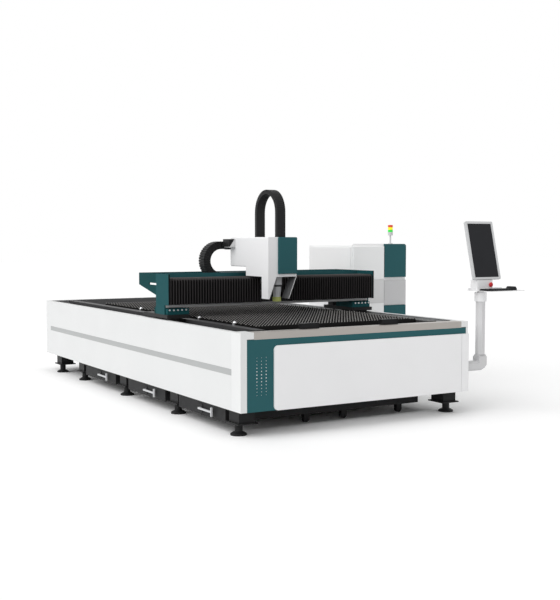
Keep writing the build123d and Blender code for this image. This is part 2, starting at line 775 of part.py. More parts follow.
# Slag drawers: open trays with a turned-out rim, caster forks and a pull handle
def drawer(centre_y):
    """Open tray on caster forks, with its axles and the middle pair of wheels, fixed to theirs."""
    low_y = centre_y - drawer_width / 2
    high_y = centre_y + drawer_width / 2
    with BuildPart() as tray:
        block((drawer_front, drawer_back), (low_y, high_y), (DRAWER_BOTTOM, drawer_top))
        block(
            (drawer_front + DRAWER_SHEET, drawer_back - DRAWER_SHEET),
            (low_y + DRAWER_SHEET, high_y - DRAWER_SHEET),
            (DRAWER_BOTTOM + DRAWER_SHEET, drawer_top),
            mode=Mode.SUBTRACT,
        )
        for edge_y in (low_y - DRAWER_RIM, high_y):
            block(
                (drawer_front, drawer_back),
                (edge_y, edge_y + DRAWER_RIM),
                (drawer_top - DRAWER_SHEET, drawer_top),
            )
        for wheel_x in (*wheel_places, fixed_wheel_x):
            for wheel_y in (low_y + WHEEL_INSET, high_y - WHEEL_INSET):
                fork_half = WHEEL_WIDTH / 2 + FORK_GAP
                for cheek_y in (wheel_y - fork_half - FORK_SHEET, wheel_y + fork_half):
                    block(
                        (wheel_x - FORK_WIDTH / 2, wheel_x + FORK_WIDTH / 2),
                        (cheek_y, cheek_y + FORK_SHEET),
                        (WHEEL_RADIUS - 2 * AXLE_RADIUS, DRAWER_BOTTOM),
                    )
                with BuildSketch(Plane.XZ.offset(-wheel_y)):
                    with Locations((wheel_x, WHEEL_RADIUS)):
                        RegularPolygon(AXLE_RADIUS, 12)
                extrude(amount=fork_half, both=True)
                if wheel_x == fixed_wheel_x:
                    with BuildSketch(Plane.XZ.offset(-wheel_y)):
                        with Locations((wheel_x, WHEEL_RADIUS)):
                            Circle(WHEEL_RADIUS)
                    extrude(amount=WHEEL_WIDTH / 2, both=True)
        handle_x = drawer_front - HANDLE_REACH
        block(
            (drawer_front - DRAWER_SHEET, drawer_front),
            (centre_y - HANDLE_PLATE / 2, centre_y + HANDLE_PLATE / 2),
            (HANDLE_HEIGHT - HANDLE_PLATE / 2, HANDLE_HEIGHT + HANDLE_PLATE / 2),
        )
        block(
            (handle_x, drawer_front - DRAWER_SHEET),
            (centre_y - HANDLE_BAR / 2, centre_y + HANDLE_BAR / 2),
            (HANDLE_HEIGHT - HANDLE_BAR / 2, HANDLE_HEIGHT + HANDLE_BAR / 2),
        )
        block(
            (handle_x, handle_x + HANDLE_BAR),
            (centre_y - HANDLE_RUN, centre_y - HANDLE_BAR / 2),
            (HANDLE_HEIGHT - HANDLE_BAR / 2, HANDLE_HEIGHT + HANDLE_BAR / 2),
        )
        block(
            (handle_x, handle_x + HANDLE_BAR),
            (centre_y - HANDLE_RUN - HANDLE_BAR, centre_y - HANDLE_RUN),
            (HANDLE_HEIGHT - HANDLE_GRIP / 2, HANDLE_HEIGHT + HANDLE_GRIP / 2),
        )
    return tray.part


def wheel_pair(centre_y, wheel_x):
    """Two caster wheels on one line, at both sides of a drawer."""
    wheel_half = WHEEL_WIDTH / 2
    with BuildPart() as wheel:
        with BuildSketch(Plane.XY):
            with BuildLine():
                Polyline(
                    (AXLE_RADIUS + RUNNING_GAP, -wheel_half),
                    (WHEEL_RADIUS, -wheel_half),
                    (WHEEL_RADIUS, wheel_half),
                    (AXLE_RADIUS + RUNNING_GAP, wheel_half),
                    close=True,
                )
            make_face()
        revolve(axis=Axis.Y)
    reach = drawer_width / 2 - WHEEL_INSET
    return Compound(
        children=[Pos(wheel_x, centre_y + sign * reach, WHEEL_RADIUS) * wheel.part for sign in (-1, 1)]
    )


drawer_names = ("front", "middle", "rear")
wheel_names = ("outer", "inner")
for index, drawer_name in enumerate(drawer_names):
    drawer_y = bed_y((foot_places[index] + foot_places[index + 1]) / 2)
    save(drawer(drawer_y), f"{drawer_name}_slag_drawer")
    for wheel_name, wheel_x in zip(wheel_names, wheel_places):
        save(wheel_pair(drawer_y, wheel_x), f"{drawer_name}_drawer_{wheel_name}_wheels")

# Gantry beam: a box tube with the smooth rack bar along its rear top edge
with BuildPart() as gantry_beam:
    with BuildSketch(Plane.YZ.offset(-leg_inner_x)):
        with Locations((gantry_y(BEAM_FRONT) + BEAM_DEPTH / 2, BEAM_BOTTOM + BEAM_HEIGHT / 2)):
            Rectangle(BEAM_DEPTH, BEAM_HEIGHT)
            Rectangle(BEAM_DEPTH - 2 * BEAM_WALL, BEAM_HEIGHT - 2 * BEAM_WALL, mode=Mode.SUBTRACT)
    extrude(amount=2 * leg_inner_x)
    block(
        (-leg_inner_x, leg_inner_x),
        (gantry_y(beam_rear) - X_RACK_WIDTH, gantry_y(beam_rear)),
        (beam_top, beam_top + X_RACK_HEIGHT),
    )
save(gantry_beam.part, "gantry_beam")


def gantry_leg(side):
    """End plate with a narrow neck, a rear wing for the tray and an inward foot."""
    outer = side * leg_outer_x
    with BuildPart() as leg:
        with BuildSketch(Plane.YZ.offset(outer)):
            with BuildLine():
                Polyline(
                    (gantry_y(LEG_NECK_FRONT), BASE_TOP),
                    (gantry_y(LEG_NECK_FRONT), LEG_NECK_TOP),
                    (gantry_y(0), LEG_NECK_TOP),
                    (gantry_y(0), LEG_TOP),
                    (gantry_y(WING_REAR), LEG_TOP),
                    (gantry_y(WING_REAR), WING_BOTTOM),
                    (gantry_y(beam_rear), WING_ROOT),
                    (gantry_y(beam_rear), BASE_TOP),
                    close=True,
                )
            make_face()
            with Locations((gantry_y(WING_SLOT_PLACE), LEG_TOP - WING_SLOT_DROP)):
                SlotOverall(WING_SLOT_LENGTH, WING_SLOT_HEIGHT, mode=Mode.SUBTRACT)
        extrude(amount=-side * LEG_THICK)
        block(
            mirrored(side, base_inner_x, leg_inner_x),
            (gantry_y(FOOT_FRONT), gantry_y(foot_rear)),
            (BASE_TOP, FOOT_TOP),
        )
    return leg.part


save(gantry_leg(-1), "gantry_left_leg")
save(gantry_leg(1), "gantry_right_leg")

# Base plates with grooved sliders that run on the long rails
with BuildPart() as gantry_bases:
    for side in (-1, 1):
        block(
            mirrored(side, base_inner_x, leg_outer_x),
            (gantry_y(BASE_FRONT), gantry_y(base_rear)),
            (BASE_BOTTOM, BASE_TOP),
        )
        for slider_front in (FOOT_FRONT, base_rear - SLIDER_REAR_INSET - SLIDER_LENGTH):
            block(
                mirrored(side, rail_x - SLIDER_WIDTH / 2, rail_x + SLIDER_WIDTH / 2),
                (gantry_y(slider_front), gantry_y(slider_front) + SLIDER_LENGTH),
                (TUBE_TOP + SLIDER_CLEAR, BASE_BOTTOM),
            )
        block(
            mirrored(
                side,
                rail_x - RAIL_WIDTH / 2 - RUNNING_GAP,
                rail_x + RAIL_WIDTH / 2 + RUNNING_GAP,
            ),
            (gantry_y(BASE_FRONT), gantry_y(base_rear)),
            (TUBE_TOP, TUBE_TOP + RAIL_HEIGHT),
            mode=Mode.SUBTRACT,
        )
        with Locations(Location((side * pinion_x, gantry_y(motor_y), BASE_TOP))):
            Hole(radius=SHAFT_RADIUS + RUNNING_GAP, depth=BASE_TOP - BASE_BOTTOM + OVERRUN)
save(gantry_bases.part, "gantry_bases")


def y_pinion(side):
    """Smooth pinion at the rack's pitch line, on its upright motor shaft."""
    with BuildPart() as pinion:
        with BuildSketch(Plane.XY.offset(TUBE_TOP + (RACK_HEIGHT - PINION_WIDTH) / 2)):
            with Locations((side * pinion_x, gantry_y(motor_y))):
                Circle(PINION_RADIUS)
        extrude(amount=PINION_WIDTH)
        with BuildSketch(Plane.XY.offset(TUBE_TOP + RACK_HEIGHT / 2)):
            with Locations((side * pinion_x, gantry_y(motor_y))):
                Circle(SHAFT_RADIUS)
        extrude(amount=BASE_TOP - TUBE_TOP - RACK_HEIGHT / 2)
    return pinion.part


save(y_pinion(-1), "y_pinion_left")
save(y_pinion(1), "y_pinion_right")

with BuildPart() as y_motors:
    for side in (-1, 1):
        with BuildSketch(Plane.XY.offset(BASE_TOP)):
            with Locations((side * pinion_x, gantry_y(motor_y))):
                Rectangle(GEARBOX_SIZE, GEARBOX_SIZE)
        extrude(amount=GEARBOX_HEIGHT)
        with BuildSketch(Plane.XY.offset(BASE_TOP + GEARBOX_HEIGHT)) as motor_sketch:
            with Locations((side * pinion_x, gantry_y(motor_y))):
                Rectangle(MOTOR_SIZE, MOTOR_SIZE)
            chamfer(motor_sketch.vertices(), length=MOTOR_CORNER)
        extrude(amount=MOTOR_HEIGHT)
save(y_motors.part, "y_motors")

# Open cable tray along the rear of the beam
with BuildPart() as cable_tray:
    with BuildSketch(Plane.YZ.offset(-leg_inner_x)):
        with BuildLine():
            Polyline(
                (gantry_y(beam_rear), TRAY_BOTTOM),
                (gantry_y(beam_rear), LEG_TOP),
                (gantry_y(beam_rear) + TRAY_SHEET, LEG_TOP),
                (gantry_y(beam_rear) + TRAY_SHEET, TRAY_BOTTOM + TRAY_SHEET),
                (gantry_y(WING_REAR) - TRAY_SHEET, TRAY_BOTTOM + TRAY_SHEET),
                (gantry_y(WING_REAR) - TRAY_SHEET, LEG_TOP),
                (gantry_y(WING_REAR), LEG_TOP),
                (gantry_y(WING_REAR), TRAY_BOTTOM),
                close=True,
            )
        make_face()
    extrude(amount=2 * leg_inner_x)
save(cable_tray.part, "cable_tray")

with BuildPart() as x_rails:
    for rail_z in (X_RAIL_LOW, X_RAIL_HIGH):
        block(
            (-leg_inner_x, leg_inner_x),
            (gantry_y(BEAM_FRONT) - X_RAIL_DEPTH, gantry_y(BEAM_FRONT)),
            (rail_z - X_RAIL_WIDTH / 2, rail_z + X_RAIL_WIDTH / 2),
        )
save(x_rails.part, "x_rails")


def bellows(start_x, end_x):
    """Pleated cover: a channel section that alternates between its outer and inner fold."""
    folds = max(1, round((end_x - start_x) / FOLD_PITCH))
    step = (end_x - start_x) / (2 * folds)
    with BuildPart() as cover:
        for index in range(2 * folds + 1):
            inset = FOLD_DEPTH * (1 - index % 2)
            front = gantry_y(0) + inset
            top = BELLOWS_TOP - inset
            bottom = BELLOWS_BOTTOM + inset
            with BuildSketch(Plane.YZ.offset(start_x + index * step)):
                with BuildLine():
                    Polyline(
                        (gantry_y(BELLOWS_LIP_REAR), top),
                        (front + BELLOWS_ROUND, top),
                        (front, top - BELLOWS_ROUND),
                        (front, bottom),
                        (gantry_y(BELLOWS_FOOT_REAR), bottom),
                        (gantry_y(BELLOWS_FOOT_REAR), bottom + BELLOWS_SHEET),
                        (front + BELLOWS_SHEET, bottom + BELLOWS_SHEET),
                        (front + BELLOWS_SHEET, top - BELLOWS_ROUND),
                        (front + BELLOWS_ROUND, top - BELLOWS_SHEET),
                        (gantry_y(BELLOWS_LIP_REAR), top - BELLOWS_SHEET),
                        close=True,
                    )
                make_face()
        loft(ruled=True)
    return cover.part


save(bellows(-leg_inner_x, plate_left), "left_bellows")
save(bellows(shell_right, leg_inner_x), "right_bellows")

# Carriage: back plate with four grooved blocks, the wall the head slides on, and a shelf over the beam
# that carries the drive motor
with BuildPart() as carriage_plate:
    block(
        (plate_left, shell_right),
        (gantry_y(PLATE_FRONT), gantry_y(plate_rear)),
        (PLATE_BOTTOM, PLATE_TOP),
    )
    block(
        (shell_left, shell_right),
        (gantry_y(Z_WALL_FRONT), gantry_y(SHELF_REAR)),
        (PLATE_TOP - SHELF_THICK, PLATE_TOP),
    )
    block(
        (HEAD_X - Z_WALL_WIDTH / 2, HEAD_X + Z_WALL_WIDTH / 2),
        (gantry_y(Z_WALL_FRONT), gantry_y(Z_WALL_FRONT + Z_WALL_THICK)),
        (PLATE_TOP - SHELF_THICK, Z_WALL_TOP),
    )
    for rail_z in (X_RAIL_LOW, X_RAIL_HIGH):
        for block_left in (plate_left, shell_right - X_BLOCK_LENGTH):
            block(
                (block_left, block_left + X_BLOCK_LENGTH),
                (gantry_y(plate_rear), gantry_y(BEAM_FRONT) - SLIDER_CLEAR),
                (rail_z - X_BLOCK_HEIGHT / 2, rail_z + X_BLOCK_HEIGHT / 2),
            )
        block(
            (plate_left, shell_right),
            (gantry_y(BEAM_FRONT) - X_RAIL_DEPTH, gantry_y(BEAM_FRONT)),
            (
                rail_z - X_RAIL_WIDTH / 2 - RUNNING_GAP,
                rail_z + X_RAIL_WIDTH / 2 + RUNNING_GAP,
            ),
            mode=Mode.SUBTRACT,
        )
    x_pinion_y = gantry_y(beam_rear) - X_RACK_WIDTH - RUNNING_GAP - PINION_RADIUS
    with Locations(Location((HEAD_X, x_pinion_y, PLATE_TOP))):
        Hole(radius=SHAFT_RADIUS + RUNNING_GAP, depth=SHELF_THICK + OVERRUN)
    with BuildSketch(Plane.XY.offset(PLATE_TOP)) as x_motor_sketch:
        with Locations((HEAD_X, x_pinion_y)):
            Rectangle(GEARBOX_SIZE, GEARBOX_SIZE)
        chamfer(x_motor_sketch.vertices(), length=MOTOR_CORNER)
    extrude(amount=GEARBOX_HEIGHT + MOTOR_HEIGHT)
save(carriage_plate.part, "carriage_plate")

with BuildPart() as x_pinion:
    with BuildSketch(Plane.XY.offset(beam_top + (X_RACK_HEIGHT - PINION_WIDTH / 2) / 2)):
        with Locations((HEAD_X, x_pinion_y)):
            Circle(PINION_RADIUS)
    extrude(amount=PINION_WIDTH / 2)
    with BuildSketch(Plane.XY.offset(beam_top + X_RACK_HEIGHT / 2)):
        with Locations((HEAD_X, x_pinion_y)):
            Circle(SHAFT_RADIUS)
    extrude(amount=PLATE_TOP - beam_top - X_RACK_HEIGHT / 2)
save(x_pinion.part, "x_pinion")

# White carriage cover: rounded shell stepped over the beam, with two tapered cheeks round the head
carriage_width = CARRIAGE_RIGHT - CARRIAGE_LEFT
with BuildPart() as carriage_cover:
    with BuildSketch(Plane.YZ.offset(CARRIAGE_LEFT)):
        with BuildLine():
            Polyline(
                (gantry_y(COVER_FRONT), COVER_BOTTOM),
                (gantry_y(COVER_FRONT), COVER_TOP),
                (gantry_y(COVER_REAR), COVER_TOP),
                (gantry_y(COVER_REAR), COVER_REAR_BOTTOM),
                (gantry_y(COVER_STEP), COVER_REAR_BOTTOM),
                (gantry_y(COVER_STEP), COVER_BOTTOM),
                close=True,
            )
        make_face()
    extrude(amount=carriage_width)
    fillet(
        carriage_cover.edges().filter_by(Axis.X).group_by(Axis.Y)[-1],
        radius=COVER_ROUND,
    )
    fillet(
        carriage_cover.faces().sort_by(Axis.Z)[-1].edges().filter_by(Axis.Y),
        radius=COVER_ROUND / 2,
    )
    with BuildSketch(Plane.XZ.offset(-gantry_y(COVER_FRONT))):
        with BuildLine():
            Polyline(
                (CARRIAGE_LEFT, COVER_BOTTOM),
                (CARRIAGE_RIGHT, COVER_BOTTOM),
                (CARRIAGE_RIGHT - CHEEK_TAPER, CHEEK_BOTTOM),
                (CARRIAGE_LEFT, CHEEK_BOTTOM),
                close=True,
            )
        make_face()
    extrude(amount=-(CHEEK_REAR - COVER_FRONT))
    with BuildSketch(Plane.XZ.offset(-gantry_y(COVER_FRONT) + OVERRUN)):
        with BuildLine():
            Polyline(
                (MOUTH_LEFT, COVER_BOTTOM),
                (CARRIAGE_RIGHT - CHEEK_SHEET, COVER_BOTTOM),
                (CARRIAGE_RIGHT - CHEEK_TAPER - CHEEK_SHEET, CHEEK_BOTTOM),
                (MOUTH_LEFT - MOUTH_SPREAD, CHEEK_BOTTOM),
                close=True,
            )
        make_face()
    extrude(amount=-(CHEEK_REAR - COVER_FRONT + 2 * OVERRUN), mode=Mode.SUBTRACT)
    block(
        (shell_left, shell_right),
        (gantry_y(COVER_FRONT) + SHEET, gantry_y(COVER_STEP) - SHEET),
        (COVER_BOTTOM, COVER_TOP - SHEET),
        mode=Mode.SUBTRACT,
    )
    block(
        (shell_left, shell_right),
        (gantry_y(COVER_FRONT) + SHEET, gantry_y(COVER_REAR) - SHEET),
        (COVER_REAR_BOTTOM, COVER_TOP - SHEET),
        mode=Mode.SUBTRACT,
    )
    block(
        (HEAD_X - CHAIN_WIDTH / 2 - CHAIN_LINK_GAP, HEAD_X + CHAIN_WIDTH / 2 + CHAIN_LINK_GAP),
        (
            gantry_y(CHAIN_FRONT_Y) - CHAIN_THICK / 2 - CHAIN_LINK_GAP,
            gantry_y(CHAIN_FRONT_Y) + CHAIN_THICK / 2 + CHAIN_LINK_GAP,
        ),
        (COVER_TOP - SHEET, COVER_TOP),
        mode=Mode.SUBTRACT,
    )
    tab_top = X_CHAIN_TOP - X_CHAIN_THICK / 2
    block(
        (X_CHAIN_START, X_CHAIN_START + CHAIN_TAB_WIDTH),
        (gantry_y(COVER_REAR), gantry_y(X_CHAIN_Y) + X_CHAIN_WIDTH / 2),
        (tab_top - CHAIN_TAB_SHEET, tab_top),
    )
save(carriage_cover.part, "carriage_cover")

# Teal front cover on the carriage
with BuildPart() as carriage_front:
    with BuildSketch(Plane.XZ.offset(-gantry_y(COVER_FRONT))):
        with Locations(((TEAL_LEFT + CARRIAGE_RIGHT) / 2, (TEAL_BOTTOM + COVER_TOP) / 2)):
            Rectangle(CARRIAGE_RIGHT - TEAL_LEFT, COVER_TOP - TEAL_BOTTOM)
    extrude(amount=TEAL_THICK)
    fillet(carriage_front.edges().filter_by(Axis.Y).group_by(Axis.Z)[-1], radius=TEAL_ROUND)
    fillet(carriage_front.faces().sort_by(Axis.Y)[0].edges(), radius=TEAL_ROUND / 2)
save(carriage_front.part, "carriage_front_cover")

# Cutting head on its slide plate, with a tapered neck and a nozzle
with BuildPart() as cutting_head:
    with BuildSketch(Plane.XY.offset(HEAD_NECK_TOP)) as head_sketch:
        with Locations((HEAD_X, gantry_y(HEAD_Y))):
            Rectangle(HEAD_SIZE, HEAD_SIZE)
        chamfer(head_sketch.vertices(), length=HEAD_CORNER)
    extrude(amount=HEAD_TOP - HEAD_NECK_TOP)
    with BuildSketch(Plane.XY.offset(HEAD_NECK_TOP)):
        with Locations((HEAD_X, gantry_y(HEAD_Y))):
            RegularPolygon(HEAD_SIZE / 2, 8, major_radius=False)
    with BuildSketch(Plane.XY.offset(HEAD_BOTTOM)):
        with Locations((HEAD_X, gantry_y(HEAD_Y))):
            RegularPolygon(HEAD_NECK / 2, 8, major_radius=False)
    loft(ruled=True)
    block(
        (HEAD_X - Z_PLATE_WIDTH / 2, HEAD_X + Z_PLATE_WIDTH / 2),
        (gantry_y(HEAD_Y) + HEAD_SIZE / 2, gantry_y(Z_WALL_FRONT)),
        (PLATE_TOP, Z_PLATE_TOP),
    )
    block(
        (HEAD_X - CHAIN_WIDTH / 2, HEAD_X + CHAIN_WIDTH / 2),
        (gantry_y(CHAIN_FRONT_Y) - CHAIN_THICK / 2, gantry_y(Z_WALL_FRONT)),
        (HEAD_TOP, HEAD_TOP + CHAIN_SEAT),
    )
    for low_z, high_z, low_radius in (
        (RING_BOTTOM, HEAD_BOTTOM, NOZZLE_RADIUS),
        (NOZZLE_TIP, RING_BOTTOM, NOZZLE_TIP_RADIUS),
    ):
        with BuildSketch(Plane.XY.offset(high_z)):
            with Locations((HEAD_X, gantry_y(HEAD_Y))):
                RegularPolygon(NOZZLE_RADIUS, 12)
        with BuildSketch(Plane.XY.offset(low_z)):
            with Locations((HEAD_X, gantry_y(HEAD_Y))):
                RegularPolygon(low_radius, 12)
        loft(ruled=True)
save(cutting_head.part, "cutting_head")

with BuildPart() as sensor_ring:
    with BuildSketch(Plane.XY.offset(RING_BOTTOM)):
        with Locations((HEAD_X, gantry_y(HEAD_Y))):
            Circle(RING_RADIUS)
            Circle(NOZZLE_RADIUS + RUNNING_GAP, mode=Mode.SUBTRACT)
    extrude(amount=HEAD_BOTTOM - RING_BOTTOM)
save(sensor_ring.part, "sensor_ring")

def energy_chain(path, plane, sizes):
    """Energy chain: raised links along a core band that follows a path drawn in a plane."""
    thick, core, link, width = sizes
    count = max(2, round(path.length / link))
    with BuildPart() as chain:
        with BuildSketch(plane):
            trace(path, line_width=core)
            for index in range(count):
                share = (index + 1 / 2) / count
                point = path.position_at(share)
                slope = path.tangent_at(share)
                with Locations(Location((point.X, point.Y), degrees(atan2(slope.Y, slope.X)))):
                    Rectangle(path.length / count - CHAIN_LINK_GAP, thick)
        extrude(amount=width / 2, both=True)
    return chain.part


# Inverted loop that feeds the head, from the head's bracket over to the top of the cover
z_bend = (CHAIN_REAR_Y - CHAIN_FRONT_Y) / 2
z_bend_z = CHAIN_TOP - CHAIN_THICK / 2 - z_bend
with BuildLine() as z_path:
    Line((gantry_y(CHAIN_FRONT_Y), HEAD_TOP + CHAIN_SEAT), (gantry_y(CHAIN_FRONT_Y), z_bend_z))
    CenterArc((gantry_y(CHAIN_FRONT_Y) + z_bend, z_bend_z), z_bend, 180, -180)
    Line((gantry_y(CHAIN_REAR_Y), z_bend_z), (gantry_y(CHAIN_REAR_Y), COVER_TOP))
z_sizes = (CHAIN_THICK, CHAIN_CORE, CHAIN_LINK, CHAIN_WIDTH)
save(energy_chain(z_path.wire(), Plane.YZ.offset(HEAD_X), z_sizes), "z_chain")

# Rolling loop between the carriage's rear tab and the floor of the cable tray
x_low = TRAY_BOTTOM + TRAY_SHEET + X_CHAIN_THICK / 2
x_bend = (X_CHAIN_TOP - x_low) / 2
with BuildLine() as x_path:
    Line((X_CHAIN_START + CHAIN_TAB_WIDTH, X_CHAIN_TOP), (X_CHAIN_BEND, X_CHAIN_TOP))
    CenterArc((X_CHAIN_BEND, x_low + x_bend), x_bend, 90, 180)
    Line((X_CHAIN_BEND, x_low), (X_CHAIN_END, x_low))
x_sizes = (X_CHAIN_THICK, X_CHAIN_CORE, X_CHAIN_LINK, X_CHAIN_WIDTH)
save(energy_chain(x_path.wire(), Plane.XZ.offset(-gantry_y(X_CHAIN_Y)), x_sizes), "x_chain")

# Cabinet: rounded hollow housing on a plinth, with a raised side panel and a duct to the bed
with BuildPart() as cabinet_body:
    block(
        (cabinet_left, cabinet_right),
        (bed_y(CABINET_FRONT), bed_y(cabinet_rear)),
        (PLINTH, CABINET_TOP),
    )
    fillet(
        cabinet_body.faces().sort_by(Axis.Z)[-1].edges().filter_by(Axis.Y),
        radius=CABINET_ROUND,
    )
    block(
        (cabinet_left + PLINTH_INSET, cabinet_right - PLINTH_INSET),
        (bed_y(CABINET_FRONT) + PLINTH_INSET, bed_y(cabinet_rear) - PLINTH_INSET),
        (0, PLINTH),
    )
    block(
        (cabinet_left + CABINET_WALL, door_right - CABINET_WALL),
        (bed_y(CABINET_FRONT), bed_y(cabinet_rear) - CABINET_WALL),
        (PLINTH + CABINET_WALL, CABINET_TOP - CABINET_ROUND - CABINET_WALL),
        mode=Mode.SUBTRACT,
    )
    block(
        (cabinet_left - SIDE_PANEL_PROUD, cabinet_left),
        (bed_y(CABINET_FRONT) + SIDE_PANEL_INSET, bed_y(cabinet_rear) - SIDE_PANEL_INSET),
        (PLINTH + SIDE_PANEL_DROP, CABINET_TOP - SIDE_PANEL_DROP),
    )
    duct_y = bed_y((CABINET_FRONT + cabinet_rear) / 2)
    block(
        (half_width, cabinet_left),
        (duct_y - DUCT_WIDTH / 2, duct_y + DUCT_WIDTH / 2),
        (DUCT_BOTTOM, DUCT_BOTTOM + DUCT_HEIGHT),
    )
save(cabinet_body.part, "cabinet_body")

# Hinged white door with its two seams
fascia_front = bed_y(CABINET_FRONT) - DOOR_THICK
door_top = CABINET_TOP - CABINET_ROUND
with BuildPart() as cabinet_door:
    block(
        (cabinet_left + DOOR_MARGIN, door_right - DOOR_MARGIN),
        (fascia_front, bed_y(CABINET_FRONT)),
        (PLINTH + DOOR_MARGIN, door_top),
    )
    fillet(cabinet_door.faces().sort_by(Axis.Y)[0].edges(), radius=DOOR_MARGIN)
    for seam_z in DOOR_SEAMS:
        block(
            (cabinet_left, door_right),
            (fascia_front, fascia_front + SEAM_WIDTH),
            (seam_z, seam_z + SEAM_WIDTH),
            mode=Mode.SUBTRACT,
        )
save(cabinet_door.part, "cabinet_door")

# Fixed fascia beside the door: teal above and below, grey panel between
with BuildPart() as cabinet_teal:
    for low_z, high_z in ((BAND_TOP, CABINET_TOP), (PLINTH + DOOR_MARGIN, GREY_BOTTOM - FASCIA_GAP)):
        block((door_right, cabinet_right), (fascia_front, bed_y(CABINET_FRONT)), (low_z, high_z))
    fillet(
        cabinet_teal.faces().sort_by(Axis.Z)[-1].edges().sort_by(Axis.X)[-1],
        radius=CABINET_ROUND,
    )
    fillet(
        cabinet_teal.edges().filter_by(Axis.Z).group_by(Axis.X)[-1].group_by(Axis.Y)[0],
        radius=DOOR_MARGIN,
    )
save(cabinet_teal.part, "cabinet_teal_fascia")

with BuildPart() as cabinet_grey:
    block(
        (door_right, cabinet_right),
        (fascia_front + DOOR_MARGIN, bed_y(CABINET_FRONT)),
        (GREY_BOTTOM, BAND_TOP - BAND_STRIP),
    )
save(cabinet_grey.part, "cabinet_grey_fascia")

# Signal tower on the cabinet roof
with BuildPart() as tower_stem:
    with BuildSketch(Plane.XZ):
        with BuildLine():
            Polyline(
                (0, CABINET_TOP),
                (TOWER_FOOT_RADIUS, CABINET_TOP),
                (TOWER_FOOT_RADIUS, CABINET_TOP + TOWER_FOOT_HEIGHT),
                (TOWER_STEM, CABINET_TOP + TOWER_FOOT_HEIGHT),
                (TOWER_STEM, TOWER_BASE_BOTTOM),
                (TOWER_RADIUS, TOWER_BASE_BOTTOM),
                (TOWER_RADIUS, TOWER_BASE_BOTTOM + TOWER_BASE_HEIGHT),
                (0, TOWER_BASE_BOTTOM + TOWER_BASE_HEIGHT),
                close=True,
            )
        make_face()
    revolve(axis=Axis.Z)
save(Pos(tower_x, bed_y(tower_y), 0) * tower_stem.part, "signal_tower_stem")

lens_bottom = TOWER_BASE_BOTTOM + TOWER_BASE_HEIGHT
with BuildPart() as tower_lens:
    with BuildSketch(Plane.XY.offset(lens_bottom)):
        Circle(TOWER_RADIUS)
    extrude(amount=LENS_HEIGHT)
    chamfer(tower_lens.faces().sort_by(Axis.Z)[-1].edges(), length=TOWER_CAP / 2)
lenses = [
    Pos(tower_x, bed_y(tower_y), index * LENS_HEIGHT) * tower_lens.part
    for index in range(LENS_COUNT)
]
save(Compound(children=lenses), "signal_tower_lenses")

# Console post: flanged arm, chamfered elbow and eight-sided upright
elbow_outer = post_x + ARM_RADIUS
with BuildPart() as console_post:
    with BuildSketch(Plane.XZ.offset(-post_y + ARM_RADIUS)):
        with BuildLine():
            Polyline(
                (half_width, ARM_Z - ARM_RADIUS),
                (elbow_outer - ELBOW_CUT, ARM_Z - ARM_RADIUS),
                (elbow_outer, ARM_Z - ARM_RADIUS + ELBOW_CUT),
                (elbow_outer, ELBOW_TOP),
                (post_x - ARM_RADIUS, ELBOW_TOP),
                (post_x - ARM_RADIUS, ARM_Z + ARM_RADIUS),
                (half_width, ARM_Z + ARM_RADIUS),
                close=True,
            )
        make_face()
    extrude(amount=-2 * ARM_RADIUS)
    chamfer(console_post.edges().filter_by(Axis.X), length=ARM_RADIUS / 2)
    with BuildSketch(Plane.YZ.offset(half_width)):
        with Locations((post_y, ARM_Z)):
            Rectangle(2 * ARM_FLANGE, 2 * ARM_FLANGE)
    extrude(amount=ARM_FLANGE_THICK)
    with BuildSketch(Plane.XY.offset(ELBOW_TOP)):
        with Locations((post_x, post_y)):
            RegularPolygon(POST_SIZE / 2, 8, major_radius=False, rotation=180 / 8)
    extrude(amount=POST_TOP - ELBOW_TOP)
save(console_post.part, "console_post")

# Swivelling shelf: ribbed collar and neck under a tray with a rear lip
with BuildPart() as console_shelf:
    with BuildSketch(Plane.XY.offset(POST_TOP)):
        with Locations((post_x, post_y)):
            RegularPolygon(COLLAR_SIZE / 2, 8, major_radius=False, rotation=180 / 8)
            with PolarLocations(COLLAR_SIZE / 2, 4):
                Rectangle(COLLAR_RIB, COLLAR_RIB_RUN)
    extrude(amount=COLLAR_TOP - POST_TOP)
    with BuildSketch(Plane.XY.offset(COLLAR_TOP)):
        with Locations((post_x, post_y)):
            RegularPolygon(NECK_RADIUS, 8)
    extrude(amount=SHELF_TOP - SHELF_SHEET - COLLAR_TOP)
    with BuildSketch(Plane.XY.offset(SHELF_TOP)) as shelf_sketch:
        with Locations((console_x(SHELF_LEFT + shelf_width / 2), bed_y(SHELF_FRONT + shelf_depth / 2))):
            Rectangle(shelf_width, shelf_depth)
        fillet(shelf_sketch.vertices(), radius=SHELF_LIP)
    extrude(amount=-SHELF_SHEET)
    block(
        (console_x(SHELF_LEFT) + SHELF_LIP, console_x(SHELF_RIGHT) - SHELF_LIP),
        (bed_y(SHELF_BACK) - SHELF_SHEET, bed_y(SHELF_BACK)),
        (SHELF_TOP, SHELF_TOP + SHELF_LIP),
    )
save(console_shelf.part, "console_shelf")

# Control box under the screen, with the bore that the stop button runs in
box_top = MONITOR_BOTTOM - MONITOR_DEPTH * sin(radians(MONITOR_TILT)) - RUNNING_GAP
estop_seat = bed_y(BOX_FRONT)
with BuildPart() as control_box:
    block(
        (console_x(BOX_LEFT), console_x(BOX_RIGHT)),
        (bed_y(BOX_FRONT), bed_y(BOX_BACK)),
        (SHELF_TOP, box_top),
    )
    chamfer(control_box.edges().filter_by(Axis.Z), length=SHELF_SHEET)
    with BuildSketch(Plane.XZ.offset(-estop_seat)):
        with Locations((console_x(ESTOP_X), ESTOP_Z)):
            Circle(ESTOP_NECK_RADIUS + RUNNING_GAP)
    extrude(amount=-(ESTOP_HEAD + 2 * ESTOP_TRAVEL), mode=Mode.SUBTRACT)
save(control_box.part, "control_box")

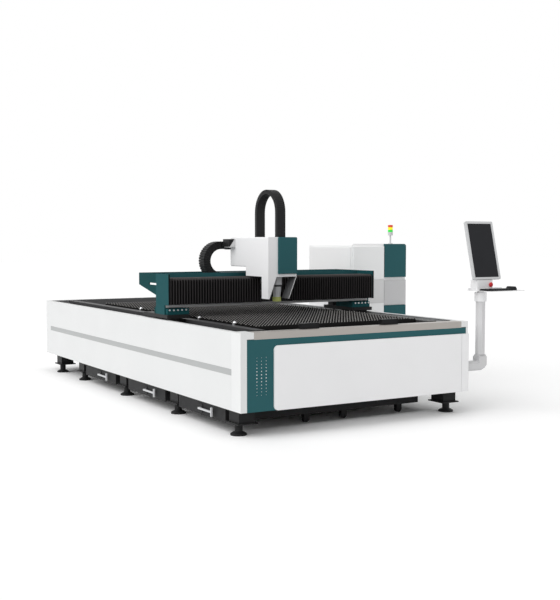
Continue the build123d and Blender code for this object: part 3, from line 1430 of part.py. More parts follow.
# Stop button: mushroom head on a neck that runs in the control box
neck_depth = ESTOP_HEAD + ESTOP_TRAVEL
with BuildPart() as estop_button:
    with BuildSketch(Plane.YZ.offset(console_x(ESTOP_X))):
        with BuildLine():
            Polyline(
                (estop_seat + neck_depth - ESTOP_TRAVEL, ESTOP_Z),
                (estop_seat + neck_depth - ESTOP_TRAVEL, ESTOP_Z + ESTOP_NECK_RADIUS),
                (estop_seat - ESTOP_TRAVEL, ESTOP_Z + ESTOP_NECK_RADIUS),
                (estop_seat - ESTOP_TRAVEL - RUNNING_GAP, ESTOP_Z + ESTOP_RADIUS),
                (estop_seat - ESTOP_TRAVEL - ESTOP_HEAD / 2, ESTOP_Z + ESTOP_RADIUS),
                (estop_seat - ESTOP_TRAVEL - ESTOP_HEAD, ESTOP_Z + ESTOP_NECK_RADIUS),
                (estop_seat - ESTOP_TRAVEL - ESTOP_HEAD, ESTOP_Z),
                close=True,
            )
        make_face()
    revolve(axis=Axis((console_x(ESTOP_X), 0, ESTOP_Z), (0, 1, 0)))
save(estop_button.part, "emergency_stop")

# Keyboard with its keys, and the mouse beside it
key_pitch_x = (KEYBOARD_LENGTH - 2 * KEY_GAP) / KEY_COLUMNS
key_pitch_y = (KEYBOARD_DEPTH - 2 * KEY_GAP) / KEY_ROWS
keyboard_x = console_x(KEYBOARD_LEFT) + KEYBOARD_LENGTH / 2
keyboard_y = bed_y(KEYBOARD_FRONT) + KEYBOARD_DEPTH / 2
with BuildPart() as keyboard:
    with BuildSketch(Plane.XY.offset(SHELF_TOP)):
        with Locations((keyboard_x, keyboard_y)):
            Rectangle(KEYBOARD_LENGTH, KEYBOARD_DEPTH)
    extrude(amount=KEYBOARD_HEIGHT - KEY_HEIGHT)
    with BuildSketch(Plane.XY.offset(SHELF_TOP + KEYBOARD_HEIGHT - KEY_HEIGHT)):
        with Locations((keyboard_x, keyboard_y)):
            with GridLocations(key_pitch_x, key_pitch_y, KEY_COLUMNS, KEY_ROWS):
                Rectangle(key_pitch_x - KEY_GAP, key_pitch_y - KEY_GAP)
    extrude(amount=KEY_HEIGHT)
save(keyboard.part, "keyboard")

with BuildPart() as mouse:
    with BuildSketch(Plane.XY.offset(SHELF_TOP)):
        with Locations((console_x(MOUSE_X), bed_y(MOUSE_Y))):
            SlotOverall(MOUSE_LENGTH, MOUSE_WIDTH, rotation=90)
    extrude(amount=MOUSE_HEIGHT)
    chamfer(mouse.faces().sort_by(Axis.Z)[-1].edges(), length=MOUSE_HEIGHT / 2, length2=MOUSE_HEIGHT / 3)
save(mouse.part, "mouse")

# Screen: tilted housing with a mounting block down to the control box, and the glass in its bezel
monitor_plane = Plane(
    origin=(console_x(MONITOR_X), bed_y(MONITOR_Y), MONITOR_BOTTOM),
    x_dir=(1, 0, 0),
    z_dir=(0, -cos(radians(MONITOR_TILT)), sin(radians(MONITOR_TILT))),
)
with BuildPart() as monitor:
    with BuildSketch(monitor_plane) as monitor_sketch:
        with Locations((0, MONITOR_HEIGHT / 2)):
            Rectangle(MONITOR_WIDTH, MONITOR_HEIGHT)
        fillet(monitor_sketch.vertices(), radius=MONITOR_ROUND)
    extrude(amount=-MONITOR_DEPTH)
    with BuildSketch(monitor_plane):
        with Locations((0, MONITOR_HEIGHT / 2)):
            Rectangle(MONITOR_WIDTH - 2 * BEZEL, MONITOR_HEIGHT - 2 * BEZEL)
    extrude(amount=-SCREEN_RECESS - SCREEN_THICK, mode=Mode.SUBTRACT)
    with BuildSketch(monitor_plane.offset(-MONITOR_DEPTH)):
        with Locations((0, MONITOR_HEIGHT / 2)):
            Rectangle(VESA_SIZE, VESA_SIZE)
    extrude(amount=-VESA_THICK)
save(monitor.part, "monitor_housing")

with BuildPart() as screen:
    with BuildSketch(monitor_plane.offset(-SCREEN_RECESS)):
        with Locations((0, MONITOR_HEIGHT / 2)):
            Rectangle(MONITOR_WIDTH - 2 * BEZEL, MONITOR_HEIGHT - 2 * BEZEL)
    extrude(amount=-SCREEN_THICK)
save(screen.part, "monitor_screen")
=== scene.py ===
"""Looks of an open-bed fiber laser cutting machine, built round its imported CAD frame.

Sizes are metres in the frame of the CAD model: X across the bed, Y along it towards the rear, Z up.
"""

import logging
import math
from dataclasses import dataclass, field
from enum import Enum
from typing import ClassVar

import bmesh
import bpy
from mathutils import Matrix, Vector


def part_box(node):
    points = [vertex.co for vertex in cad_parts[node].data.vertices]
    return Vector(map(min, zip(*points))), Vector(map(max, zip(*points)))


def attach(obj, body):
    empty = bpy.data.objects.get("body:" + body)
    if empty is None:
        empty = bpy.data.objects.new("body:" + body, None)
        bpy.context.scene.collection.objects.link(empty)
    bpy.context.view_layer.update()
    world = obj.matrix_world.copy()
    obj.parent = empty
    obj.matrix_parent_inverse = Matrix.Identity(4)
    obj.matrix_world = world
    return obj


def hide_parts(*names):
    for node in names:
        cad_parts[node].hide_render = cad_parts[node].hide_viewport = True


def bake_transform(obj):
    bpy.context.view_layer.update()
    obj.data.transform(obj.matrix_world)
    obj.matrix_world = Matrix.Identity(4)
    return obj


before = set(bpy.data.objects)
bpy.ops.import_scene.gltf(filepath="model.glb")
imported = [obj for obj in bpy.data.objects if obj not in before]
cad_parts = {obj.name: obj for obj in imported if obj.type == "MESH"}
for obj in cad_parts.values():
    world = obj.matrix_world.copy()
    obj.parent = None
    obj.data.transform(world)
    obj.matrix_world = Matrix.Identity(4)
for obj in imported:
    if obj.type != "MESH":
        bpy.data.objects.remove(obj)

LOG = logging.getLogger("laser_cutter")
BEND_STEPS = 32
LEVELS = 255.0
TOE_END = 0.04045
TOE_SLOPE = 12.92
CURVE_OFFSET = 0.055
CURVE_POWER = 2.4

Place = tuple[float, float]
Point = tuple[float, float, float]
Colour = tuple[float, float, float]


class Axis(Enum):
    """An axis of the frame, by its place in a point."""

    X = 0
    Y = 1
    Z = 2


class End(Enum):
    """An end of a run across the bed, by its corner of the run's box."""

    LEFT = 0
    RIGHT = 1


def linear(red: int, green: int, blue: int) -> Colour:
    """Turns a screen (sRGB) colour into the linear colour that a shader takes.

    Args:
        red: Red, 0 to 255.
        green: Green, 0 to 255.
        blue: Blue, 0 to 255.

    Returns:
        The three linear channels, 0 to 1.
    """
    channels = []
    for level in (red, green, blue):
        share = level / LEVELS
        low = share / TOE_SLOPE
        high = ((share + CURVE_OFFSET) / (1.0 + CURVE_OFFSET)) ** CURVE_POWER
        channels.append(low if share <= TOE_END else high)
    return (channels[0], channels[1], channels[2])


def arc(radius: float, start: float, sweep: float) -> list[Place]:
    """Points of an arc about the origin, from an angle on through a sweep, both in radians."""
    angles = [start + sweep * step / BEND_STEPS for step in range(BEND_STEPS + 1)]
    return [(radius * math.cos(angle), radius * math.sin(angle)) for angle in angles]


def placed(name: str, data: bpy.types.ID) -> bpy.types.Object:
    """Puts an object into the scene, at the origin.

    Args:
        name: Name of the object.
        data: Its mesh, lamp or camera.

    Returns:
        The object.
    """
    made = bpy.data.objects.new(name, data)
    bpy.context.scene.collection.objects.link(made)
    return made


def seen_directly(tree: bpy.types.NodeTree) -> bpy.types.NodeSocket:
    """A value that is 1 for rays from the camera, a mirror or glass, and 0 for all others.

    Args:
        tree: Node tree of the floor or the surround.

    Returns:
        The value.
    """
    ray = tree.nodes.new("ShaderNodeLightPath")
    value = ray.outputs["Is Camera Ray"]
    for name in ("Is Glossy Ray", "Is Transmission Ray"):
        either = tree.nodes.new("ShaderNodeMath")
        either.operation = "MAXIMUM"
        tree.links.new(value, either.inputs[0])
        tree.links.new(ray.outputs[name], either.inputs[1])
        value = either.outputs[0]
    return value


class ShaderGraph:
    """Node tree of one material, with short calls for adding and joining nodes."""

    MIX_COLOURS: tuple[int, int] = (6, 7)
    MIX_RESULT: int = 2
    EDGE_SAMPLES: int = 4

    def __init__(self, name: str) -> None:
        """Makes the material and keeps its surface shader.

        Args:
            name: Name of the material.
        """
        self.material = bpy.data.materials.new(name)
        self.material.use_nodes = True
        self.nodes = self.material.node_tree.nodes
        self.links = self.material.node_tree.links
        self.surface = self.nodes["Principled BSDF"]
        self.place = self.nodes.new("ShaderNodeTexCoord").outputs["Object"]

    def node(self, kind: str, **settings: object) -> bpy.types.Node:
        """Adds a node.

        Args:
            kind: The node's type name.
            **settings: Properties of the node.

        Returns:
            The new node.
        """
        made = self.nodes.new(kind)
        for key, value in settings.items():
            setattr(made, key, value)
        return made

    def join(self, source: bpy.types.NodeSocket, target: bpy.types.NodeSocket) -> None:
        """Links an output to an input."""
        self.links.new(source, target)

    def math(self, operation: str, first: object, second: object = 0.0) -> bpy.types.NodeSocket:
        """Adds a Math node.

        Args:
            operation: The operation's name.
            first: A socket or a number.
            second: A socket or a number.

        Returns:
            The node's output.
        """
        made = self.node("ShaderNodeMath", operation=operation)
        for slot, value in enumerate((first, second)):
            if isinstance(value, bpy.types.NodeSocket):
                self.join(value, made.inputs[slot])
            else:
                made.inputs[slot].default_value = value
        return made.outputs[0]

    def stretched(self, scale: Point) -> bpy.types.NodeSocket:
        """Object coordinates multiplied by a scale along each axis.

        Args:
            scale: The three factors.

        Returns:
            The coordinates.
        """
        mapping = self.node("ShaderNodeMapping")
        mapping.inputs["Scale"].default_value = scale
        self.join(self.place, mapping.inputs["Vector"])
        return mapping.outputs["Vector"]

    def noise(self, scale: float, detail: float = 3.0,
              place: bpy.types.NodeSocket | None = None) -> bpy.types.NodeSocket:
        """Adds a noise texture.

        Args:
            scale: Cells to the metre.
            detail: Octaves.
            place: Coordinates to use in place of plain object coordinates.

        Returns:
            The noise value, 0 to 1.
        """
        made = self.node("ShaderNodeTexNoise")
        made.inputs["Scale"].default_value = scale
        made.inputs["Detail"].default_value = detail
        self.join(place if place is not None else self.place, made.inputs["Vector"])
        return made.outputs["Fac"]

    def ramp(self, value: bpy.types.NodeSocket, low: float, high: float) -> bpy.types.NodeSocket:
        """Maps a 0 to 1 value onto another span.

        Args:
            value: The value.
            low: Result where the value is 0.
            high: Result where the value is 1.

        Returns:
            The mapped value.
        """
        made = self.node("ShaderNodeMapRange")
        made.inputs["To Min"].default_value = low
        made.inputs["To Max"].default_value = high
        self.join(value, made.inputs["Value"])
        return made.outputs["Result"]

    def window(self, axis: Axis, low: float, high: float) -> bpy.types.NodeSocket:
        """A mask that is 1 between two places along an axis.

        Args:
            axis: The axis.
            low: Lower place, metres.
            high: Upper place, metres.

        Returns:
            The mask.
        """
        split = self.node("ShaderNodeSeparateXYZ")
        self.join(self.place, split.inputs[0])
        above = self.math("GREATER_THAN", split.outputs[axis.value], low)
        below = self.math("LESS_THAN", split.outputs[axis.value], high)
        return self.math("MULTIPLY", above, below)

    def mix(self, mask: bpy.types.NodeSocket, first: object,
            second: object) -> bpy.types.NodeSocket:
        """Mixes two colours.

        Args:
            mask: 0 for the first colour, 1 for the second.
            first: A socket or a linear colour.
            second: A socket or a linear colour.

        Returns:
            The mixed colour.
        """
        made = self.node("ShaderNodeMix", data_type="RGBA")
        self.join(mask, made.inputs["Factor"])
        for slot, value in zip(self.MIX_COLOURS, (first, second)):
            if isinstance(value, bpy.types.NodeSocket):
                self.join(value, made.inputs[slot])
            else:
                made.inputs[slot].default_value = (*value, 1.0)
        return made.outputs[self.MIX_RESULT]

    def bump(self, height: bpy.types.NodeSocket, strength: float, depth: float,
             edge: float = 0.0) -> None:
        """Feeds a height into the surface's normal.

        Args:
            height: Height, 0 to 1.
            strength: Strength of the effect, 0 to 1.
            depth: Height of a full step, metres.
            edge: Radius that edges seem rounded by, metres.
        """
        made = self.node("ShaderNodeBump")
        made.inputs["Strength"].default_value = strength
        made.inputs["Distance"].default_value = depth
        self.join(height, made.inputs["Height"])
        if edge > 0.0:
            soft = self.node("ShaderNodeBevel", samples=self.EDGE_SAMPLES)
            soft.inputs["Radius"].default_value = edge
            self.join(soft.outputs["Normal"], made.inputs["Normal"])
        self.join(made.outputs["Normal"], self.surface.inputs["Normal"])


@dataclass(frozen=True)
class Band:
    """A zone of a finish with another colour: in some bands the thing's own, in others painted
    shade or painted highlight.

    Attributes:
        colour: Linear colour of the zone.
        limits: Axis, lower place and upper place of each pair of bounds, metres.
        backs: Axis whose lower side the zone's faces look towards, if only those count.
    """

    BACK_SLOPE: ClassVar[float] = -0.5
    colour: Colour
    limits: tuple[tuple[Axis, float, float], ...]
    backs: Axis | None = None

    def lay(self, graph: ShaderGraph, under: bpy.types.NodeSocket) -> bpy.types.NodeSocket:
        """Lays the zone over a colour.

        Args:
            graph: The material's graph.
            under: The colour outside the zone.

        Returns:
            The colour with the zone in it.
        """
        mask = None
        for axis, low, high in self.limits:
            step = graph.window(axis, low, high)
            mask = step if mask is None else graph.math("MULTIPLY", mask, step)
        if self.backs is not None:
            split = graph.node("ShaderNodeSeparateXYZ")
            graph.join(graph.node("ShaderNodeTexCoord").outputs["Normal"], split.inputs[0])
            slope = split.outputs[self.backs.value]
            back = graph.math("LESS_THAN", slope, self.BACK_SLOPE)
            mask = graph.math("MULTIPLY", mask, back)
        return graph.mix(mask, under, self.colour)


@dataclass(frozen=True)
class Finish:
    """A finish with a faint mottle in its colour and gloss.

    Attributes:
        name: Material name.
        colour: Linear base colour.
        roughness: Middle roughness.
        metallic: 1 for bare metal.
        mottle: Share by which brightness wanders.
        mottle_scale: Cells of the mottle to the metre.
        peel: Strength of the surface's fine bumps.
        peel_scale: Fine bumps to the metre.
        peel_depth: Height of the fine bumps, metres.
        specular: Level of the plain reflection.
        edge: Radius that edges seem rounded by, metres.
        bands: Zones with other colours, some the thing's own and some painted shade or painted
            highlight.
    """

    GLOSS_SWING: ClassVar[float] = 0.14
    GLOSS_CELLS: ClassVar[float] = 5.0
    PEEL_OCTAVES: ClassVar[float] = 2.0
    name: str
    colour: Colour
    roughness: float
    metallic: float = 0.0
    mottle: float = 0.03
    mottle_scale: float = 2.5
    peel: float = 0.12
    peel_scale: float = 420.0
    peel_depth: float = 0.0004
    specular: float = 0.14
    edge: float = 0.0
    bands: tuple[Band, ...] = ()

    def material(self) -> bpy.types.Material:
        """Makes the finish's material on first use.

        Returns:
            The material.
        """
        title = self.name + "_finish"
        known = bpy.data.materials.get(title)
        return known if known is not None else self.paint(ShaderGraph(title))

    def shade(self, graph: ShaderGraph) -> bpy.types.NodeSocket:
        """The base colour with its mottle.

        Args:
            graph: The material's graph.

        Returns:
            The colour socket.
        """
        dark = tuple(level * (1.0 - self.mottle) for level in self.colour)
        pale = tuple(min(1.0, level * (1.0 + self.mottle)) for level in self.colour)
        return graph.mix(graph.noise(self.mottle_scale), dark, pale)

    def zoned(self, graph: ShaderGraph, shade: bpy.types.NodeSocket) -> bpy.types.NodeSocket:
        """Lays the finish's bands over a colour, one after another.

        Args:
            graph: The material's graph.
            shade: The colour under the bands.

        Returns:
            The colour with the bands in it.
        """
        for band in self.bands:
            shade = band.lay(graph, shade)
        return shade

    def coat(self, graph: ShaderGraph, shade: bpy.types.NodeSocket,
             pattern: bpy.types.NodeSocket) -> None:
        """Gives the surface its colour, metal, plain reflection and gloss.

        Args:
            graph: The material's graph.
            shade: The colour under the bands.
            pattern: Value, 0 to 1, that the roughness follows.
        """
        inputs = graph.surface.inputs
        low, high = (self.roughness * (1.0 + sign * self.GLOSS_SWING) for sign in (-1, 1))
        graph.join(self.zoned(graph, shade), inputs["Base Color"])
        graph.join(graph.ramp(pattern, low, high), inputs["Roughness"])
        inputs["Metallic"].default_value = self.metallic
        inputs["Specular IOR Level"].default_value = self.specular

    def paint(self, graph: ShaderGraph) -> bpy.types.Material:
        """Fills the graph.

        Args:
            graph: The new material's graph.

        Returns:
            The finished material.
        """
        self.coat(graph, self.shade(graph), graph.noise(self.mottle_scale * self.GLOSS_CELLS))
        bumps = graph.noise(self.peel_scale, self.PEEL_OCTAVES)
        graph.bump(bumps, self.peel, self.peel_depth, self.edge)
        return graph.material


@dataclass(frozen=True)
class BrushedFinish(Finish):
    """Bare metal with drawn lines along one axis.

    Attributes:
        grain: The axis that the lines follow.
        fineness: Lines to the metre across the grain.
    """

    GLOSS_SWING: ClassVar[float] = 0.2
    LINE_STRETCH: ClassVar[float] = 60.0
    LINE_OCTAVES: ClassVar[float] = 4.0
    grain: Axis = Axis.X
    fineness: float = 900.0

    def paint(self, graph: ShaderGraph) -> bpy.types.Material:
        """Fills the graph with lines stretched along the grain.

        Args:
            graph: The new material's graph.

        Returns:
            The finished material.
        """
        scale = [self.fineness] * 3
        scale[self.grain.value] = self.fineness / self.LINE_STRETCH
        place = graph.stretched((scale[0], scale[1], scale[2]))
        lines = graph.noise(1.0, self.LINE_OCTAVES, place)
        dark = tuple(level * (1.0 - self.mottle) for level in self.colour)
        self.coat(graph, graph.mix(lines, dark, self.shade(graph)), lines)
        graph.bump(lines, self.peel, self.peel_depth, self.edge)
        return graph.material


@dataclass(frozen=True)
class LampFinish(Finish):
    """Coloured lamp plastic in three tiers, one above another.

    Attributes:
        middle_colour: Linear colour of the middle tier.
        top_colour: Linear colour of the top tier.
        first_joint: Height where the middle tier starts, metres.
        second_joint: Height where the top tier starts, metres.
        glow: Share of its colour that the plastic gives out.
    """

    RIB_SCALE: ClassVar[float] = 60.0
    RIB_STRENGTH: ClassVar[float] = 0.3
    RIB_DEPTH: ClassVar[float] = 0.001
    CEILING: ClassVar[float] = 10.0
    middle_colour: Colour = (1.0, 1.0, 0.0)
    top_colour: Colour = (1.0, 0.0, 0.0)
    first_joint: float = 0.0
    second_joint: float = 0.0
    glow: float = 0.25

    def paint(self, graph: ShaderGraph) -> bpy.types.Material:
        """Fills the graph with a tier by height and fine lens ribs.

        Args:
            graph: The new material's graph.

        Returns:
            The finished material.
        """
        tiers = self.shade(graph)
        for joint, colour in (
                (self.first_joint, self.middle_colour), (self.second_joint, self.top_colour)):
            tiers = graph.mix(graph.window(Axis.Z, joint, self.CEILING), tiers, colour)
        graph.join(tiers, graph.surface.inputs["Base Color"])
        graph.join(tiers, graph.surface.inputs["Emission Color"])
        graph.surface.inputs["Emission Strength"].default_value = self.glow
        graph.surface.inputs["Roughness"].default_value = self.roughness
        ribs = graph.node("ShaderNodeTexWave", bands_direction="Z")
        ribs.inputs["Scale"].default_value = self.RIB_SCALE
        graph.join(graph.place, ribs.inputs["Vector"])
        graph.bump(ribs.outputs["Fac"], self.RIB_STRENGTH, self.RIB_DEPTH)
        return graph.material


@dataclass(frozen=True)
class ClothFinish(Finish):
    """Coated bellows cloth with a fine woven face, and a painted highlight on the crests of its
    folds.

    Attributes:
        weave: Threads to the metre.
        sheen: Weight of the soft sheen.
        crest_highlight: Linear colour of the painted highlight on the crests of the folds.
    """

    CREST: ClassVar[str] = "crest"
    CREST_POWER: ClassVar[float] = 3.0
    GLOSS_SWING: ClassVar[float] = 0.1
    PATCHES: ClassVar[float] = 30.0
    THREADS_TO_SCALE: ClassVar[float] = 6.0
    weave: float = 700.0
    sheen: float = 0.15
    crest_highlight: Colour = (0.05, 0.05, 0.05)

    def paint(self, graph: ShaderGraph) -> bpy.types.Material:
        """Fills the graph with two crossed threads, and with a painted highlight on the crests
        where the mesh has them.

        Args:
            graph: The new material's graph.

        Returns:
            The finished material.
        """
        # Painted highlight: the crests of the folds are painted lighter, and the valleys keep the
        # cloth's dark colour.
        ridge = graph.node("ShaderNodeAttribute", attribute_name=self.CREST)
        highlight_mask = graph.math("POWER", ridge.outputs["Fac"], self.CREST_POWER)
        folded = graph.mix(highlight_mask, self.shade(graph), self.crest_highlight)
        self.coat(graph, folded, graph.noise(self.PATCHES))
        graph.surface.inputs["Sheen Weight"].default_value = self.sheen
        threads = []
        for direction in ("X", "Z"):
            wave = graph.node("ShaderNodeTexWave", bands_direction=direction)
            wave.inputs["Scale"].default_value = self.weave / self.THREADS_TO_SCALE
            graph.join(graph.place, wave.inputs["Vector"])
            threads.append(wave.outputs["Fac"])
        weave = graph.math("MULTIPLY", threads[0], threads[1])
        graph.bump(weave, self.peel, self.peel_depth)
        return graph.material


class Palette:
    """Every finish of the machine."""

    white = Finish("white_paint", linear(240, 240, 241), 0.42, edge=0.003)
    # Painted shade: the inner face of the right cheek, on the faces looking towards -X, is painted
    # dark grey.
    cover_white = Finish(
        "cover_white_paint", linear(242, 242, 243), 0.42, edge=0.003,
        bands=(Band(
            linear(112, 112, 114), ((Axis.X, -0.090, -0.001), (Axis.Z, 0.90, 1.163)), Axis.X),))
    corner_white = Finish("corner_white_paint", linear(228, 229, 229), 0.42, edge=0.003)
    cabinet_white = Finish("cabinet_white_paint", linear(250, 250, 250), 0.42, edge=0.003)
    # Painted shade: the side skins' white is a darker copy of the white paint, since they catch
    # more light from the floor than the covers do.
    side_white = Finish(
        "side_white_paint", linear(223, 224, 224), 0.42, edge=0.003,
        bands=(Band(linear(176, 178, 178), ((Axis.Z, 0.4645, 0.5125), (Axis.Y, -2.2035, 2.2))),))
    door_white = Finish(
        "door_white_paint", linear(248, 249, 249), 0.42, edge=0.003,
        bands=(Band(linear(222, 222, 222), ((Axis.Z, 0.835, 1.080),)),))
    teal = Finish("teal_paint", linear(40, 90, 95), 0.40, edge=0.002)
    # Painted shade: the gantry legs' rear part is a darker teal, and their front end, ahead of the
    # bellows, is near black.
    wing_teal = Finish(
        "wing_teal_paint", linear(32, 80, 84), 0.50, specular=0.03, edge=0.002,
        bands=(Band(linear(14, 64, 66), ((Axis.Y, -0.750, 1.0),)),
               Band(linear(18, 18, 19), ((Axis.Y, -1.1, -1.0195),))))
    light_grey = Finish("light_grey_paint", linear(205, 205, 206), 0.45, edge=0.002)
    # Painted light: a lighter copy of the light grey, so the beam's shaded underside looks lit.
    beam_grey = Finish("beam_paint", linear(214, 214, 215), 0.45, edge=0.002)
    post_grey = Finish("post_paint", linear(210, 210, 211), 0.40, edge=0.002)
    dark_grey = Finish(
        "dark_grey_paint", linear(42, 42, 43), 0.65, specular=0.02, mottle=0.08, edge=0.002)
    rail_cover = Finish("rail_cover_paint", linear(62, 62, 63), 0.46, mottle=0.10, edge=0.002)
    black = Finish("black_paint", linear(34, 34, 35), 0.45, mottle=0.10, edge=0.002)
    # Painted shade: the drawers' dark paint is darkened further to near black for the shade under
    # the bed.
    drawer_paint = Finish(
        "drawer_paint", linear(36, 36, 37), 0.5, mottle=0.12, edge=0.002,
        bands=(Band(linear(205, 206, 208), ((Axis.X, -1.20, -1.0752),)),))
    bed_steel = BrushedFinish(
        "bed_steel", linear(176, 171, 166), 0.40, metallic=0.55, mottle=0.08, peel=0.10,
        bands=(Band(linear(34, 34, 35), ((Axis.Z, 0.7955, 0.90),)),))
    frame_steel = Finish(
        "frame_paint", linear(58, 59, 61), 0.5, mottle=0.12, mottle_scale=5.0, peel=0.2)
    # Painted highlight: the tooth tips of the slats are painted pale.
    slat_steel = BrushedFinish(
        "slat_steel", linear(30, 29, 29), 0.5, metallic=0.20, mottle=0.25, peel=0.25,
        fineness=300.0, bands=(Band(linear(160, 158, 156), ((Axis.Z, 0.8085, 0.90),)),))
    bright_steel = BrushedFinish(
        "bright_steel", linear(205, 206, 208), 0.22, metallic=1.0, mottle=0.05, peel=0.08,
        grain=Axis.Y)
    rail_steel = BrushedFinish(
        "rail_steel", linear(190, 191, 194), 0.24, metallic=1.0, mottle=0.06, peel=0.06,
        grain=Axis.Y)
    bolt_steel = BrushedFinish(
        "bolt_steel", linear(214, 215, 217), 0.30, metallic=1.0, mottle=0.08, peel=0.06,
        grain=Axis.Z)
    chrome = Finish(
        "ball_chrome", linear(226, 227, 229), 0.12, metallic=1.0, mottle=0.03, peel=0.02)
    # Painted highlight: the crests of the pleats are painted a lighter grey.
    cloth = ClothFinish(
        "bellows_cloth", linear(11, 11, 11), 0.62, mottle=0.15, peel=0.3, peel_depth=0.0003,
        specular=0.08, sheen=0.02, crest_highlight=linear(66, 63, 64),
        bands=(Band(linear(60, 57, 57), ((Axis.Z, 1.138, 1.30),)),))
    chain = Finish(
        "chain_plastic", linear(40, 40, 41), 0.44, mottle=0.10, peel=0.2, peel_scale=900.0,
        specular=0.10)
    black_plastic = Finish(
        "black_plastic", linear(28, 29, 31), 0.46, mottle=0.10, peel=0.25, peel_scale=1200.0,
        edge=0.001)
    grey_plastic = Finish(
        "grey_plastic", linear(206, 207, 208), 0.44, mottle=0.03, peel=0.2, peel_scale=1200.0,
        edge=0.001)
    screen = Finish(
        "screen_glass", linear(38, 39, 42), 0.16, mottle=0.14, mottle_scale=6.0, peel=0.01,
        specular=0.10)
    red_plastic = Finish("red_plastic", linear(206, 58, 62), 0.34, mottle=0.06, peel=0.06)
    lamp = LampFinish(
        "lamp_plastic", linear(40, 214, 70), 0.22, middle_colour=linear(250, 240, 30),
        top_colour=linear(206, 70, 40), first_joint=1.595, second_joint=1.620)
    head_white = Finish(
        "head_paint", linear(196, 197, 199), 0.38, mottle=0.05, edge=0.002,
        bands=(Band(linear(60, 60, 62), ((Axis.Z, 1.075, 1.092),)),))
    ceramic = Finish("ring_ceramic", linear(176, 184, 110), 0.35, mottle=0.06, edge=0.002)
    rubber = Finish("wheel_rubber", linear(24, 24, 25), 0.7, mottle=0.15, peel=0.3)


class Studio:
    """Floor, light and camera of the product picture."""

    CAMERA_PLACE: Point = (-4.503, -8.658, 1.471)
    CAMERA_TURN: Point = (90.0 - 3.43, 0.0, -30.67)
    LENS_MM: float = 58.51
    VIEW_REACH: float = 200.0
    FLOOR_HALF: float = 60.0
    FLOOR_COLOUR: Colour = (0.97, 0.97, 0.97)
    FLOOR_SEEN: Colour = (1.08, 1.08, 1.08)
    SKY_LEVEL: float = 0.62
    KEY_LEVEL: float = 1.60
    KEY_FROM: Point = (-0.75, -0.12, 0.65)
    KEY_SPREAD_DEG: float = 70.0

    def build(self) -> None:
        """Makes the camera, the light and the floor."""
        scene = bpy.context.scene
        scene.view_settings.view_transform = "Standard"
        lens = bpy.data.cameras.new("camera")
        lens.lens = self.LENS_MM
        lens.clip_end = self.VIEW_REACH
        camera = placed("camera", lens)
        camera.location = self.CAMERA_PLACE
        camera.rotation_euler = [math.radians(turn) for turn in self.CAMERA_TURN]
        scene.camera = camera
        self.light()
        self.floor()

    def light(self) -> None:
        """A soft key lamp from above left and a white surround."""
        lamp = bpy.data.lights.new("key", "SUN")
        lamp.energy = self.KEY_LEVEL
        lamp.angle = math.radians(self.KEY_SPREAD_DEG)
        key = placed("key", lamp)
        key.rotation_euler = Vector(self.KEY_FROM).to_track_quat("Z", "Y").to_euler()
        world = bpy.data.worlds.new("surround")
        bpy.context.scene.world = world
        world.use_nodes = True
        nodes, links = world.node_tree.nodes, world.node_tree.links
        nodes.clear()
        strength = nodes.new("ShaderNodeMapRange")
        strength.inputs["To Min"].default_value = self.SKY_LEVEL
        strength.inputs["To Max"].default_value = 1.0
        links.new(seen_directly(world.node_tree), strength.inputs["Value"])
        sky = nodes.new("ShaderNodeBackground")
        sky.inputs["Color"].default_value = (1.0, 1.0, 1.0, 1.0)
        links.new(strength.outputs["Result"], sky.inputs["Strength"])
        output = nodes.new("ShaderNodeOutputWorld")
        links.new(sky.outputs[0], output.inputs["Surface"])

    def floor(self) -> None:
        """A wide pale floor, which isn't part of the machine."""
        mesh = bpy.data.meshes.new("studio_floor")
        half = self.FLOOR_HALF
        turns = ((-half, -half), (half, -half), (half, half), (-half, half))
        mesh.from_pydata([(x, y, 0.0) for x, y in turns], [], [(0, 1, 2, 3)])
        graph = ShaderGraph("studio_floor")
        direct = seen_directly(graph.material.node_tree)
        seen = graph.mix(direct, self.FLOOR_COLOUR, self.FLOOR_SEEN)
        matt = graph.node("ShaderNodeBsdfDiffuse")
        graph.join(seen, matt.inputs["Color"])
        graph.join(matt.outputs[0], graph.nodes["Material Output"].inputs["Surface"])
        mesh.materials.append(graph.material)
        floor = placed("studio_floor", mesh)


